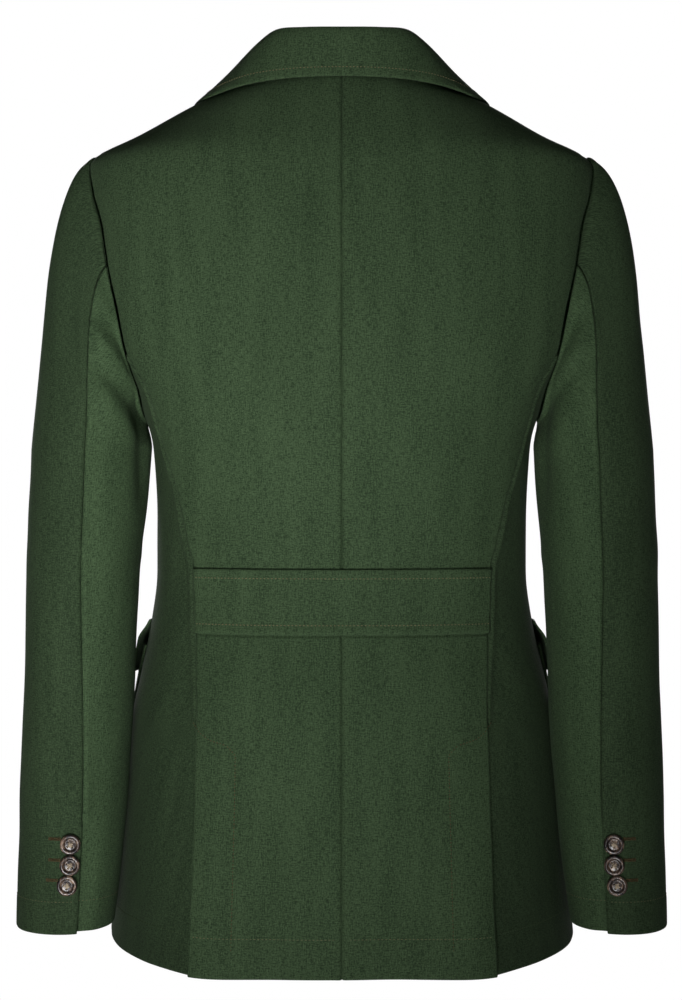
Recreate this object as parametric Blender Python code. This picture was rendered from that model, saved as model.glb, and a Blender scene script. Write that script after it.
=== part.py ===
"""Safari jacket, filled out as worn with no wearer in it.

The front faces -Y, the back +Y, and the wearer's left is +X. The origin lies between the shoulders,
at the height where the shoulders carry the jacket. Each cloth piece is a sheet over one body form or
one arm form, with its wall inside it. Sizes and tables are in millimetres, and the columns are named.
"""

import math

import bmesh
import bpy
import numpy as np
from mathutils import Vector

MM = 0.001
CLOTH = 1.5
SEAM_GAP = 0.3

# Level sections of the body form: half width, the depth at which it is widest, centre back and
# centre front, and how square the section is.
BODY_COLUMNS = ("height", "half_width", "widest_y", "back_y", "front_y", "roundness")
BODY = (
    (25, 66, 5, 60, -27, 2),
    (16, 80, 5, 68.5, -38, 2),
    (4, 106, 5, 75.5, -48, 2),
    (-8, 129, 5, 81, -57, 2),
    (-20, 149.5, 5, 86, -65, 2),
    (-26, 160.5, 5, 88.5, -69, 2.01),
    (-32, 174, 4, 91, -73, 2.03),
    (-38, 190, 4, 93, -76, 2.06),
    (-47, 194, 3, 96, -82, 2.1),
    (-65, 194, 2, 99.5, -91, 2.17),
    (-90, 189.5, 1, 103.5, -103, 2.25),
    (-125, 186, 0, 106.5, -116, 2.3),
    (-165, 178.5, 0, 107.5, -127, 2.3),
    (-190, 171.5, 0, 107, -132, 2.3),
    (-225, 155, -2, 104, -135, 2.3),
    (-260, 144.6, -5, 97, -132, 2.3),
    (-315, 142, -8, 87, -121, 2.3),
    (-355, 142, -10, 85, -117, 2.3),
    (-392, 146.5, -13, 89, -120, 2.3),
    (-434, 156, -20, 99, -128, 2.3),
    (-463, 162.5, -26, 105.5, -133, 2.3),
    (-500, 167, -33, 112, -138, 2.3),
    (-560, 174, -45, 120, -144, 2.28),
    (-640, 182.5, -61, 127, -149, 2.27),
)
HEM = -640

# Below the belt the back stays flat out to the vents: how far the form stands out there at the hem,
# how far from the centre line, how far it spreads, and the height where it starts.
VENT_FULLNESS = 18
VENT_FULLNESS_X = 105
VENT_FULLNESS_WIDTH = 38
VENT_FULLNESS_TOP = -400

# Level sections of the arm form, from below the armhole to the cuff, and the angle of its back seam.
ARM_COLUMNS = ("height", "centre_x", "centre_y", "half_width", "half_depth", "back_seam", "front_seam")
ARM = (
    (-262, 192, 5, 45.3, 56, 92, 238),
    (-300, 193.5, 10, 45, 54, 93, 239),
    (-346, 196.3, 15, 43.2, 52, 95, 240),
    (-391, 197.6, 20, 42.6, 50, 98, 241),
    (-451, 198.9, 24, 41.8, 48, 102, 242),
    (-512, 201.7, 29.5, 40.7, 46, 107, 243),
    (-572, 205.2, 31, 38.5, 44, 110, 244),
    (-619, 208.2, 32, 36, 43, 112, 245),
)
ARM_TOP = -262
CUFF = -619
ARM_RADIUS = 44

# The armhole is an egg-shaped cut through the body form, wider below.
ARMHOLE_TOP = -38
ARMHOLE_BOTTOM = -237
ARMHOLE_HALF_WIDTH = 45
ARMHOLE_EGG = 10
BACK_SEAM_AT_ARMHOLE = 82
FRONT_SEAM_AT_ARMHOLE = 231
UNDERARM_GAP = 0.7

# Where the seams of the body run, as distances from the centre line.
BACK_SEAM_TOP = -190
BACK_SEAM = ((-222, 145), (-256, 135.8), (-285, 127.5), (-304, 121.5), (-331, 115.5), (-356, 109.8),
             (-403, 108.3), (-465, 106.5), (-503, 106.8), (-589, 108.3), (-640, 109.5))
FRONT_SEAM_TOP = -215
FRONT_SEAM = ((-240, 143), (-260, 137), (-300, 130), (-355, 124), (-434, 128), (-560, 143), (-640, 150))

# Neckline, roll line and front edge.
NECK_BACK = 18
NECK_SIDE = 25
ROLL_TOP = (15, 66)
BREAK = (-232, -19)
LAP_SINK = 2.4
LAP_FULL = 24
LAP_START = 52

# Side vents: the back laps over an underlap of the side body.
VENT_TOP = -465
VENT_UNDERLAP = 30
VENT_SLOPE = 13
VENT_SINK = 2.3
VENT_SINK_WIDTH = 26
VENT_SINK_RISE = 75
VENT_LIFT = 2

# Half belt over the back waist.
BELT_TOP = -351
BELT_BOTTOM = -398.5

# Patch pockets: distance of their front edge from the centre line, width along the cloth, and the
# heights of the bag and of the flap.
HIP_POCKET_EDGE = 46
HIP_POCKET_WIDTH = 168
HIP_POCKET_TOPS = (-413, -393)
HIP_POCKET_BOTTOMS = (-585, -436)
CHEST_POCKET_EDGE = 84
CHEST_POCKET_WIDTH = 84
CHEST_POCKET_TOPS = (-146, -127)
CHEST_POCKET_BOTTOMS = (-228, -160)

CUFF_VENT_TOP = -540
CUFF_BUTTON_HEIGHTS = (-552.6, -568, -582.8)
CUFF_BUTTON_ANGLES = (97, 98, 96.5)
CUFF_BUTTON_RADIUS = 7.5
FRONT_BUTTON_HEIGHTS = (-243, -332, -421)
FRONT_BUTTON_RADIUS = 10
FRONT_BUTTON_SHANK = 0.8

LINEN_GREEN = (0.034, 0.058, 0.028)
HORN_BROWN = (0.07, 0.04, 0.028)


def clear_scene():
    for old in list(bpy.data.objects):
        bpy.data.objects.remove(old, do_unlink=True)


def between_rows(heights, values, at):
    """A curve through the rows of a table in falling order of height, monotone between any two."""
    x = np.asarray(heights, float)[::-1]
    y = np.asarray(values, float)[::-1]
    step = np.diff(x)
    slope = np.diff(y) / step
    same_sign = slope[1:] * slope[:-1] > 0
    safe = np.where(same_sign, slope[1:] + slope[:-1], 1)
    inner = np.where(same_sign, 2 * slope[1:] * slope[:-1] / safe, 0)
    tangent = np.concatenate([slope[:1], inner, slope[-1:]])
    at = np.clip(at, x[0], x[-1])
    row = np.clip(np.searchsorted(x, at, side="right") - 1, 0, len(step) - 1)
    t = (at - x[row]) / step[row]
    value = (2 * t**3 - 3 * t**2 + 1) * y[row] + (3 * t**2 - 2 * t**3) * y[row + 1]
    lean = (t**3 - 2 * t**2 + t) * tangent[row] + (t**3 - t**2) * tangent[row + 1]
    return value + lean * step[row]


def table_at(table, columns, height):
    """Every column of a table after the first, at these heights."""
    heights = [row[0] for row in table]
    return [between_rows(heights, [row[i] for row in table], height) for i in range(1, len(columns))]


def ease(share):
    share = np.clip(share, 0, 1)
    return share * share * (3 - 2 * share)


def body_point(angle, height):
    """A point of the body form. Angle 0 is centre back, 90 degrees the left side, 180 centre front."""
    half_width, widest_y, back_y, front_y, roundness = table_at(BODY, BODY_COLUMNS, height)
    depth = np.where(np.cos(angle) > 0, back_y - widest_y, widest_y - front_y)
    across = np.abs(np.sin(angle) / half_width) ** roundness
    along = np.abs(np.cos(angle) / depth) ** roundness
    radius = (across + along) ** (-1 / roundness)
    x = radius * np.sin(angle)
    low = np.clip((VENT_FULLNESS_TOP - height) / (VENT_FULLNESS_TOP - HEM), 0, 1)
    near_vent = np.exp(-(((np.abs(x) - VENT_FULLNESS_X) / VENT_FULLNESS_WIDTH) ** 2))
    fuller = VENT_FULLNESS * low * near_vent * ease(3 * np.cos(angle))
    y = widest_y + radius * np.cos(angle) + fuller
    return np.stack([x, y, height + 0 * angle], axis=-1)


def body_angle(x, height, front=False):
    """The angle at which the back or the front of the form lies this far from the centre line."""
    half_width, widest_y, back_y, front_y, roundness = table_at(BODY, BODY_COLUMNS, height)
    depth = widest_y - front_y if front else back_y - widest_y
    share = np.clip(np.abs(x) / half_width, 0, 1)
    y = depth * (1 - share**roundness) ** (1 / roundness)
    return np.mod(np.arctan2(x, -y if front else y), 2 * math.pi)


def body_normal(angle, height):
    step = 0.004
    lift = 0.5
    across = body_point(angle + step, height) - body_point(angle - step, height)
    along = body_point(angle, height + lift) - body_point(angle, height - lift)
    normal = np.cross(along, across)
    return normal / np.linalg.norm(normal, axis=-1, keepdims=True)


def over_body(angle, height, offset):
    """A point this far outside the body form."""
    offset = np.asarray(offset + 0 * angle)[..., None]
    return body_point(angle, height) + offset * body_normal(angle, height)


def gap_angle(angle, height):
    """Half a seam gap, as an angle on the form."""
    point = body_point(angle, height)
    return SEAM_GAP / 2 / np.hypot(point[..., 0], point[..., 1])


def armhole_point(around):
    """A point of the armhole. Around 0 is the shoulder, 90 degrees the back, 180 the underarm."""
    middle = (ARMHOLE_TOP + ARMHOLE_BOTTOM) / 2
    height = middle + (ARMHOLE_TOP - middle) * np.cos(around)
    half_width, widest_y, back_y, front_y, roundness = table_at(BODY, BODY_COLUMNS, height)
    off = np.sin(around) * (ARMHOLE_HALF_WIDTH - ARMHOLE_EGG * np.cos(around))
    depth = np.where(off > 0, back_y - widest_y, widest_y - front_y)
    x = half_width * (1 - np.abs(off / depth) ** roundness) ** (1 / roundness)
    return np.stack([x, widest_y + off, height], axis=-1)


def armhole_angle(height, front=False):
    """The angle on the body form at which the armhole's edge lies at these heights."""
    middle = (ARMHOLE_TOP + ARMHOLE_BOTTOM) / 2
    share = np.clip((height - middle) / (ARMHOLE_TOP - middle), -1, 1)
    around = np.arccos(share)
    if front:
        around = -around
    point = armhole_point(around)
    widest_y = table_at(BODY, BODY_COLUMNS, point[..., 2])[1]
    return np.arctan2(point[..., 0], point[..., 1] - widest_y)


def seam_angle(seam, top, height, front=False):
    """The angle of a body seam that starts at the armhole's edge at its top."""
    start = armhole_angle(np.array([float(top)]), front)
    start_x = body_point(start, np.array([float(top)]))[0, 0]
    heights = [top] + [row[0] for row in seam]
    places = [start_x] + [row[1] for row in seam]
    return body_angle(between_rows(heights, places, height), height, front)


def back_edge(height):
    """The outer edge of the back: shoulder seam, armhole, then the side-back seam."""
    seam = seam_angle(BACK_SEAM, BACK_SEAM_TOP, height)
    lower = np.where(height < BACK_SEAM_TOP, seam, armhole_angle(height))
    return np.where(height > ARMHOLE_TOP, math.pi / 2, lower)


def front_side_edge(height):
    """The outer edge of the front: shoulder seam, armhole, then the side-front seam."""
    seam = seam_angle(FRONT_SEAM, FRONT_SEAM_TOP, height, front=True)
    lower = np.where(height < FRONT_SEAM_TOP, seam, armhole_angle(height, front=True))
    return np.where(height > ARMHOLE_TOP, math.pi / 2, lower)


def roll_x(height):
    """How far from the centre line the front ends: on the roll line, then on the straight front edge."""
    slope = (ROLL_TOP[1] - BREAK[1]) / (ROLL_TOP[0] - BREAK[0])
    line = ROLL_TOP[1] + slope * (height - ROLL_TOP[0])
    neck = np.interp(height, (ROLL_TOP[0], NECK_SIDE), (ROLL_TOP[1], 61))
    return np.where(height > ROLL_TOP[0], neck, np.maximum(line, BREAK[1]))


def front_sink(angle, height):
    """How far the left front lies under the right one near the centre."""
    x = body_point(angle, height)[..., 0]
    return LAP_SINK * ease((LAP_START - x) / (LAP_START - LAP_FULL)) * ease((-120 - height) / 50)


def linen():
    return principled("green_linen", LINEN_GREEN, 0.85)


def horn():
    return principled("brown_horn", HORN_BROWN, 0.35)


def principled(name, colour, roughness):
    material = bpy.data.materials.new(name)
    material.use_nodes = True
    shader = material.node_tree.nodes["Principled BSDF"]
    shader.inputs["Base Color"].default_value = (*colour, 1)
    shader.inputs["Roughness"].default_value = roughness
    shader.inputs["Metallic"].default_value = 0
    return material


def finish(mesh_data, name, material):
    mesh = bpy.data.meshes.new(name)
    mesh_data.to_mesh(mesh)
    mesh_data.free()
    mesh.shade_smooth()
    mesh.materials.append(material)
    piece = bpy.data.objects.new(name, mesh)
    bpy.context.collection.objects.link(piece)
    return piece


def wall_direction(place, across, down):
    """The direction square to a sheet, from a small step each way along it."""
    step = 0.002
    right, left = np.minimum(across + step, 1), np.maximum(across - step, 0)
    low, high = np.minimum(down + step, 1), np.maximum(down - step, 0)
    normal = np.cross(place(right, down) - place(left, down), place(across, low) - place(across, high))
    return normal / np.linalg.norm(normal, axis=-1, keepdims=True)


def sheet(name, columns, rows, place, side=1, outwards=1):
    """A cloth piece: a grid placed by a function of (across, down), with a wall inside it.

    Side -1 mirrors it.
    """
    grid = bmesh.new()
    bmesh.ops.create_grid(grid, x_segments=columns, y_segments=rows, size=1)
    inner = bmesh.ops.extrude_face_region(grid, geom=grid.faces[:], use_keep_orig=True)["geom"]
    inner = [part for part in inner if isinstance(part, bmesh.types.BMVert)]
    bmesh.ops.translate(grid, verts=inner, vec=(0, 0, 1))
    flat = np.array([vert.co[:] for vert in grid.verts])
    across = (1 + flat[:, 0]) / 2
    down = (1 - flat[:, 1]) / 2
    inwards = -outwards * CLOTH * flat[:, 2:] * wall_direction(place, across, down)
    points = (place(across, down) + inwards) * MM * (side, 1, 1)
    for vert, point in zip(grid.verts, points):
        vert.co = point
    bmesh.ops.recalc_face_normals(grid, faces=grid.faces)
    if grid.calc_volume(signed=True) < 0:
        bmesh.ops.reverse_faces(grid, faces=grid.faces)
    return finish(grid, name, linen())


def pick(rows, down):
    """The height of each grid row, from a list of heights."""
    return np.interp(down * (len(rows) - 1), range(len(rows)), rows)


# Heights of the grid rows below the shoulder, closer where the form turns faster.
UPPER_ROWS = (-45, -56, -72, -92, -115, -140, -165, BACK_SEAM_TOP)
SEAM_ROWS = (-206, -222, -240, -260)
WAIST_ROWS = (-285, -318, BELT_TOP, (BELT_TOP + BELT_BOTTOM) / 2, BELT_BOTTOM)
SKIRT_ROWS = (-425, VENT_TOP + 18, VENT_TOP, VENT_TOP - VENT_SLOPE, -510, -552, -596, HEM)
SHOULDER_ROWS = 7
FRONT_SHARE = (FRONT_SEAM_TOP - SEAM_ROWS[-1]) / (BACK_SEAM_TOP - SEAM_ROWS[-1])
FRONT_SEAM_ROWS = tuple(SEAM_ROWS[-1] + FRONT_SHARE * (height - SEAM_ROWS[-1]) for height in SEAM_ROWS)
BACK_ROWS = UPPER_ROWS + SEAM_ROWS + WAIST_ROWS + SKIRT_ROWS
FRONT_ROWS = UPPER_ROWS + (-203, FRONT_SEAM_TOP) + FRONT_SEAM_ROWS + WAIST_ROWS + SKIRT_ROWS


def torso_heights(rows, neck, down):
    """Heights of a panel's points: a fan up to the neckline over the shoulder, level rows below it."""
    row = down * (SHOULDER_ROWS + len(rows))
    fan = 1 - row / SHOULDER_ROWS
    level = np.interp(row - SHOULDER_ROWS, range(len(rows) + 1), (ARMHOLE_TOP,) + rows)
    return np.where(fan > 0, ARMHOLE_TOP + fan * (neck - ARMHOLE_TOP), level)


def back_point(across, down):
    neck = NECK_BACK + (NECK_SIDE - NECK_BACK) * across**2
    height = torso_heights(BACK_ROWS, neck, down)
    edge = back_edge(height)
    inner = gap_angle(0 * height, height)
    angle = inner + across * (edge - gap_angle(edge, height) - inner)
    lift = VENT_LIFT * ease((VENT_TOP - height) / (VENT_TOP - HEM)) * across**3
    return over_body(angle, height, lift)


def build_backs():
    for side, name in ((1, "left"), (-1, "right")):
        sheet(f"back_{name}", 11, SHOULDER_ROWS + len(BACK_ROWS), back_point, side)


SIDE_ROWS = (BACK_SEAM_TOP,) + SEAM_ROWS + WAIST_ROWS + SKIRT_ROWS
SIDE_FAN_ROWS = len(SEAM_ROWS)


def side_top():
    """The armhole's lower edge, as heights against the share of the way across the side body."""
    around = np.linspace(0, 2 * math.pi, 400)
    points = armhole_point(around)
    widest_y = table_at(BODY, BODY_COLUMNS, points[:, 2])[1]
    angle = np.arctan2(points[:, 0], points[:, 1] - widest_y)
    heights = points[:, 2]
    back = seam_angle(BACK_SEAM, BACK_SEAM_TOP, np.minimum(heights, BACK_SEAM_TOP))
    front = seam_angle(FRONT_SEAM, FRONT_SEAM_TOP, np.minimum(heights, FRONT_SEAM_TOP), front=True)
    share = (angle - back) / (front - back)
    low = (heights <= BACK_SEAM_TOP) & (share > -0.01) & (share < 1.01)
    low &= (heights <= FRONT_SEAM_TOP) | (angle < math.pi / 2)
    order = np.argsort(share[low])
    return share[low][order], heights[low][order]


def side_point(across, down):
    nominal = pick(SIDE_ROWS, down)
    shares, heights = side_top()
    top = np.interp(across, shares, heights)
    fan_end = SIDE_ROWS[SIDE_FAN_ROWS]
    fan = (nominal - fan_end) / (SIDE_ROWS[0] - fan_end)
    height = np.where(nominal > fan_end, fan_end + fan * (top - fan_end), nominal)
    back = seam_angle(BACK_SEAM, BACK_SEAM_TOP, height)
    front = seam_angle(FRONT_SEAM, FRONT_SEAM_TOP, height, front=True)
    radius = body_point(back, height)[..., 0]
    in_vent = np.clip((VENT_TOP - height) / VENT_SLOPE, 0, 1)
    first = back + gap_angle(back, height) - VENT_UNDERLAP * in_vent / radius
    last = front - gap_angle(front, height)
    angle = first + across * (last - first)
    past_seam = (angle - back) * radius
    near = 1 - ease((past_seam - 4) / VENT_SINK_WIDTH)
    sink = VENT_SINK * near * ease((VENT_TOP + VENT_SINK_RISE - height) / VENT_SINK_RISE)
    return over_body(angle, height, -sink)


def build_sides():
    for side, name in ((1, "left"), (-1, "right")):
        sheet(f"side_{name}", 9, len(SIDE_ROWS) - 1, side_point, side)


def front_point(sunk):
    def place(across, down):
        height = torso_heights(FRONT_ROWS, NECK_SIDE - 0.5, down)
        edge = front_side_edge(height)
        last = body_angle(roll_x(height), height, front=True)
        first = edge + gap_angle(edge, height)
        angle = first + across * (last - first)
        sink = front_sink(angle, height) if sunk else 0
        return over_body(angle, height, -sink)

    return place


def build_fronts():
    for side, name, sunk in ((1, "left", True), (-1, "right", False)):
        sheet(f"front_{name}", 11, SHOULDER_ROWS + len(FRONT_ROWS), front_point(sunk), side)


def belt_point(across, down):
    height = BELT_TOP + down * (BELT_BOTTOM - BELT_TOP)
    edge = back_edge(height)
    angle = (2 * across - 1) * (edge - gap_angle(edge, height))
    point = over_body(np.abs(angle), height, SEAM_GAP + CLOTH)
    point[..., 0] *= np.sign(angle)
    return point


def build_half_belt():
    sheet("half_belt", 22, 2, belt_point)


def arm_point(around, height):
    centre_x, centre_y, half_width, half_depth, _, _ = table_at(ARM, ARM_COLUMNS, height)
    x = centre_x + half_width * np.cos(around)
    y = centre_y + half_depth * np.sin(around)
    return np.stack([x, y, height + 0 * around], axis=-1)


def sleeve_head(around, share):
    """From the armhole to the top of the arm form: out over the shoulder, straight down at the underarm."""
    start = armhole_point(around)
    end = arm_point(around, ARM_TOP + 0 * around)
    drop = (start[..., 2] - end[..., 2])[..., None]
    low = ((1 - np.cos(around)) / 2)[..., None]
    back = np.sin(around)[..., None]
    outwards = 0.48 * (1 - low**2) + 0.04 * low
    downwards = 0.04 + 0.67 * low + 0.29 * low**2
    leave = np.concatenate([outwards, 0.42 * back, -downwards], axis=-1) * drop
    start = start + leave / np.linalg.norm(leave, axis=-1, keepdims=True) * SEAM_GAP * (2.4 - 1.4 * low)
    start = start + low**2 * UNDERARM_GAP * np.array([1.0, 0.0, 0.0])
    arrive = np.array([0.09, 0.1, -1.0]) * drop
    t = share[..., None]
    ends = (2 * t**3 - 3 * t**2 + 1) * start + (3 * t**2 - 2 * t**3) * end
    return ends + (t**3 - 2 * t**2 + t) * leave + (t**3 - t**2) * arrive


HEAD_ROWS = 9
ARM_ROWS = (ARM_TOP, -285, -310, -337, -365, -395, -430, -465, -500, CUFF_VENT_TOP + 10,
            CUFF_VENT_TOP, CUFF_VENT_TOP - 8, -575, -598, CUFF)


def sleeve_point(first_seam, last_seam, hem_lift=0.0, underlap=0.0):
    """A sleeve piece between two seams.

    Each seam is given as its angle at the armhole, its column in the arm table and a turn to add.
    """

    def seam(which, head, height):
        at_armhole, column, turn = which
        heights = [row[0] for row in ARM]
        angles = [row[column] for row in ARM]
        below = between_rows(heights, angles, height)
        return np.radians(turn + at_armhole + ease(head) * (below - at_armhole))

    def place(across, down):
        row = down * (HEAD_ROWS + len(ARM_ROWS) - 1)
        head = np.clip(row / HEAD_ROWS, 0, 1)
        height = np.interp(row - HEAD_ROWS, range(len(ARM_ROWS)), ARM_ROWS)
        height = height + hem_lift * np.clip((CUFF + 20 - height) / 20, 0, 1)
        gap = SEAM_GAP / 2 / ARM_RADIUS
        in_vent = ease((CUFF_VENT_TOP - height) / 8)
        first = seam(first_seam, head, height) + gap - underlap / ARM_RADIUS * in_vent
        last = seam(last_seam, head, height) - gap
        around = first + across * (last - first)
        point = np.where((head < 1)[..., None], sleeve_head(around, head), arm_point(around, height))
        if underlap:
            past_seam = (around - seam(first_seam, head, height)) * ARM_RADIUS
            near = 1 - ease((past_seam - 2) / 16)
            sink = VENT_SINK * near * ease((CUFF_VENT_TOP + 10 - height) / 10)
            centre = np.array(table_at(ARM, ARM_COLUMNS, height)[:2]).T
            inward = centre - point[..., :2]
            inward /= np.linalg.norm(inward, axis=-1, keepdims=True)
            point[..., :2] += inward * sink[..., None]
        return point

    return place


def build_sleeves():
    back = (BACK_SEAM_AT_ARMHOLE, 5)
    front = (FRONT_SEAM_AT_ARMHOLE, 6)
    top = sleeve_point((*front, -360), (*back, 0))
    under = sleeve_point((*back, 0), (*front, 0), hem_lift=1.2, underlap=10.0)
    rows = HEAD_ROWS + len(ARM_ROWS) - 1
    for side, name in ((1, "left"), (-1, "right")):
        sheet(f"sleeve_top_{name}", 12, rows, top, side, outwards=-1)
        sheet(f"sleeve_under_{name}", 8, rows, under, side, outwards=-1)


# Collar stations from the centre back to its front end: neck seam, roll, outer edge and the notch's drop.
COLLAR_COLUMNS = ("neck_x", "neck_y", "neck_z", "roll_x", "roll_y", "roll_z",
                  "edge_x", "edge_y", "edge_z", "notch")
COLLAR = (
    (0, 68.5, 19, 0, 73.5, 47, 0, 78, 10, 0),
    (26, 65, 19.5, 27.5, 70.5, 47.5, 38.5, 76, 9, 0),
    (46, 54, 21, 48.2, 59.5, 48.2, 71.5, 65, 6.5, 0),
    (57, 37, 25, 60.5, 40, 42.8, 96.5, 45, 3, 0),
    (63, 16, 27, 67.5, 14, 34, 111, 18, 2, 0),
    (66, -8, 24, 70, -12, 23, 113, -10, -1.5, 0),
    (66, -30, 10, 67, -36, 8, 112, -38, -8, 0),
    (60, -56, -14, 59, -62, -14, 108, -54, -18, 4),
    (53, -69, -32, 51, -73, -33, 103, -61, -29, 17),
)
# How far outside the body form the collar stays at least, from its neck seam over the roll to its edge.
COLLAR_STOPS = (0, 0.22, 0.4, 0.55, 0.78, 1)
COLLAR_CLEAR = (1.6, 2.0, 3.6, 5.2, 3.6, 2.3)
COLLAR_ON_CHEST = 5


def collar_rows(station):
    """The rows of the collar's table at these stations, on a smooth curve through them."""
    table = np.array(COLLAR, float)
    mirrored = table[1] * (-1, 1, 1, -1, 1, 1, -1, 1, 1, 1)
    table = np.vstack([mirrored, table, 2 * table[-1] - table[-2]])
    low = np.clip(station.astype(int), 0, len(COLLAR) - 2)
    t = (station - low)[:, None]
    before, here, after, later = (table[low + i] for i in range(4))
    bend = 2 * before - 5 * here + 4 * after - later + t * (3 * (here - after) + later - before)
    return here + 0.5 * t * (after - before + t * bend)


def push_out(point, least, on_form):
    """Moves points that lie too near the body form off it, and lays those on the chest on it."""
    height = point[:, 2]
    widest_y = table_at(BODY, BODY_COLUMNS, height)[1]
    angle = np.arctan2(point[:, 0], point[:, 1] - widest_y)
    normal = body_normal(angle, height)
    distance = np.sum((point - body_point(angle, height)) * normal, axis=1)
    short = np.where(height < NECK_SIDE, np.maximum(least - distance, 0), 0)
    free = point + normal * short[:, None]
    laid = over_body(body_angle(point[:, 0], height, front=True), height, least)
    return free + on_form[:, None] * (laid - free)


def collar_point(across, down):
    station = np.abs(2 * across - 1) * (len(COLLAR) - 1)
    row = collar_rows(station)
    neck, roll, edge, notch = row[:, :3], row[:, 3:6], row[:, 6:9], row[:, 9]
    out = (edge - roll) * (1, 1, 0)
    out /= np.linalg.norm(out, axis=1, keepdims=True)
    up = np.array((0.0, 0.0, 1.0))
    stand = neck + 0.7 * (roll - neck) - 1.2 * out
    fall = roll + 0.14 * (edge - roll) + 1.8 * out + 1.0 * up
    middle = roll + 0.55 * (edge - roll) + 1.2 * out + (0.8 - notch[:, None]) * up
    stops = np.stack([neck, stand, roll, fall, middle, edge])
    places = -np.array(COLLAR_STOPS)
    point = np.array([[between_rows(places, stops[:, i, axis], -down[i]) for axis in range(3)]
                      for i in range(len(down))])
    least = np.interp(down, COLLAR_STOPS, COLLAR_CLEAR)
    point = push_out(point, least, ease(station - COLLAR_ON_CHEST))
    point[:, 0] *= np.where(across < 0.5, -1, 1)
    return point


def build_collar():
    sheet("collar", 32, 8, collar_point)


def front_xz(x, height, offset):
    """A point this far outside the front of the body form, from its distance off centre and its height."""
    return over_body(body_angle(x, height, front=True), height, offset)


# The lapel's outer edge, from its point down to the break: height and distance from the centre line.
LAPEL_POINT = (-62, 108)
LAPEL_EDGE = ((-62, 108), (-90, 99), (-130, 78), (-170, 51), (-200, 26), (-229, -12))
GORGE = (-33, 50)


LAPPED_GAP = 3.5


def lapel_point(end, lapped=-100):
    """The lapel down to this height. A lapped one also stops this far short of the other front's roll line."""

    def place(across, down):
        roll_height = GORGE[0] + down * (end - GORGE[0])
        edge_height = LAPEL_POINT[0] + down * (end + 3 - LAPEL_POINT[0])
        roll = np.maximum(roll_x(roll_height) + 1, lapped - roll_x(roll_height))
        edge = between_rows([row[0] for row in LAPEL_EDGE], [row[1] for row in LAPEL_EDGE], edge_height)
        edge = np.maximum(edge, roll + 3)
        x = roll + across * (edge - roll)
        height = roll_height + across * (edge_height - roll_height)
        offset = SEAM_GAP + CLOTH + 2 * np.sin(math.pi * across)
        return front_xz(x, height, offset)

    return place


def build_lapels():
    sheet("lapel_left", 5, 10, lapel_point(-212, LAPPED_GAP), 1, outwards=-1)
    sheet("lapel_right", 5, 10, lapel_point(-226), -1, outwards=-1)


def arc_angle(start, height, length, way=1):
    """The angle reached by going this far round the body form, towards the front or, for way -1, back."""
    steps = np.linspace(0, 2.2, 60)
    reached = np.empty_like(height)
    for i, level in enumerate(height):
        ring = body_point(start[i] + way * steps, np.full(len(steps), level))
        run = np.concatenate([[0], np.cumsum(np.linalg.norm(np.diff(ring, axis=0), axis=1))])
        reached[i] = start[i] + way * np.interp(length[i], run, steps)
    return reached


def patch_point(start_of, width, top, bottom, profile):
    """A piece that lies on the body form: a rectangle along it, lifted by a profile of (across, down)."""

    def place(across, down):
        height = top + down * (bottom - top)
        angle = arc_angle(start_of(height), height, across * width)
        return over_body(angle, height, profile(across, down))

    return place


REST = 2 * SEAM_GAP + CLOTH


def bag_profile(across, down):
    """A patch pocket lies off the cloth below its mouth and comes down to it at its sides and bottom."""
    side = ease(np.minimum(across, 1 - across) / 0.09)
    foot = ease((1 - down) / 0.1)
    return REST + 2.7 * side * foot


def flap_profile(across, down):
    """A flap is sewn down along its top and stands off over the pocket."""
    return REST + 5.8 * ease(down / 0.4) - 0.2 * ease((down - 0.5) / 0.5)


def from_front_edge(edge_x, width):
    """Where a pocket starts at its side end, measured from its straight front edge."""

    def start(height):
        front = body_angle(edge_x + 0 * height, height, front=True)
        return arc_angle(front, height, width + 0 * height, way=-1)

    return start


def build_pockets():
    hip = from_front_edge(HIP_POCKET_EDGE, HIP_POCKET_WIDTH)
    chest = from_front_edge(CHEST_POCKET_EDGE, CHEST_POCKET_WIDTH)
    for side, name in ((1, "left"), (-1, "right")):
        for where, start, width, tops, bottoms, columns in (
            ("hip", hip, HIP_POCKET_WIDTH, HIP_POCKET_TOPS, HIP_POCKET_BOTTOMS, 10),
            ("chest", chest, CHEST_POCKET_WIDTH, CHEST_POCKET_TOPS, CHEST_POCKET_BOTTOMS, 7),
        ):
            bag = patch_point(start, width, tops[0], bottoms[0], bag_profile)
            flap = patch_point(start, width, tops[1], bottoms[1], flap_profile)
            sheet(f"{where}_pocket_{name}", columns, 6, bag, side)
            sheet(f"{where}_flap_{name}", columns - 1, 4, flap, side)


def button(name, radius, seat, normal):
    """A turned button with a raised rim round a dished middle, spun about its axis."""
    profile = ((0, 0), (0.78, 0), (1, 0.14), (1, 0.28), (0.9, 0.4), (0.76, 0.36), (0.62, 0.22),
               (0, 0.18))
    turned = bmesh.new()
    verts = [turned.verts.new((r * radius * MM, 0, h * radius * MM)) for r, h in profile]
    edges = [turned.edges.new(pair) for pair in zip(verts, verts[1:])]
    bmesh.ops.spin(turned, geom=verts + edges, cent=(0, 0, 0), axis=(0, 0, 1), angle=2 * math.pi,
                   steps=14, use_merge=True)
    bmesh.ops.remove_doubles(turned, verts=turned.verts, dist=1e-6)
    bmesh.ops.recalc_face_normals(turned, faces=turned.faces)
    piece = finish(turned, name, horn())
    piece.location = seat
    piece.rotation_mode = "QUATERNION"
    piece.rotation_quaternion = Vector(normal).to_track_quat("Z", "Y")
    return piece


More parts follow.
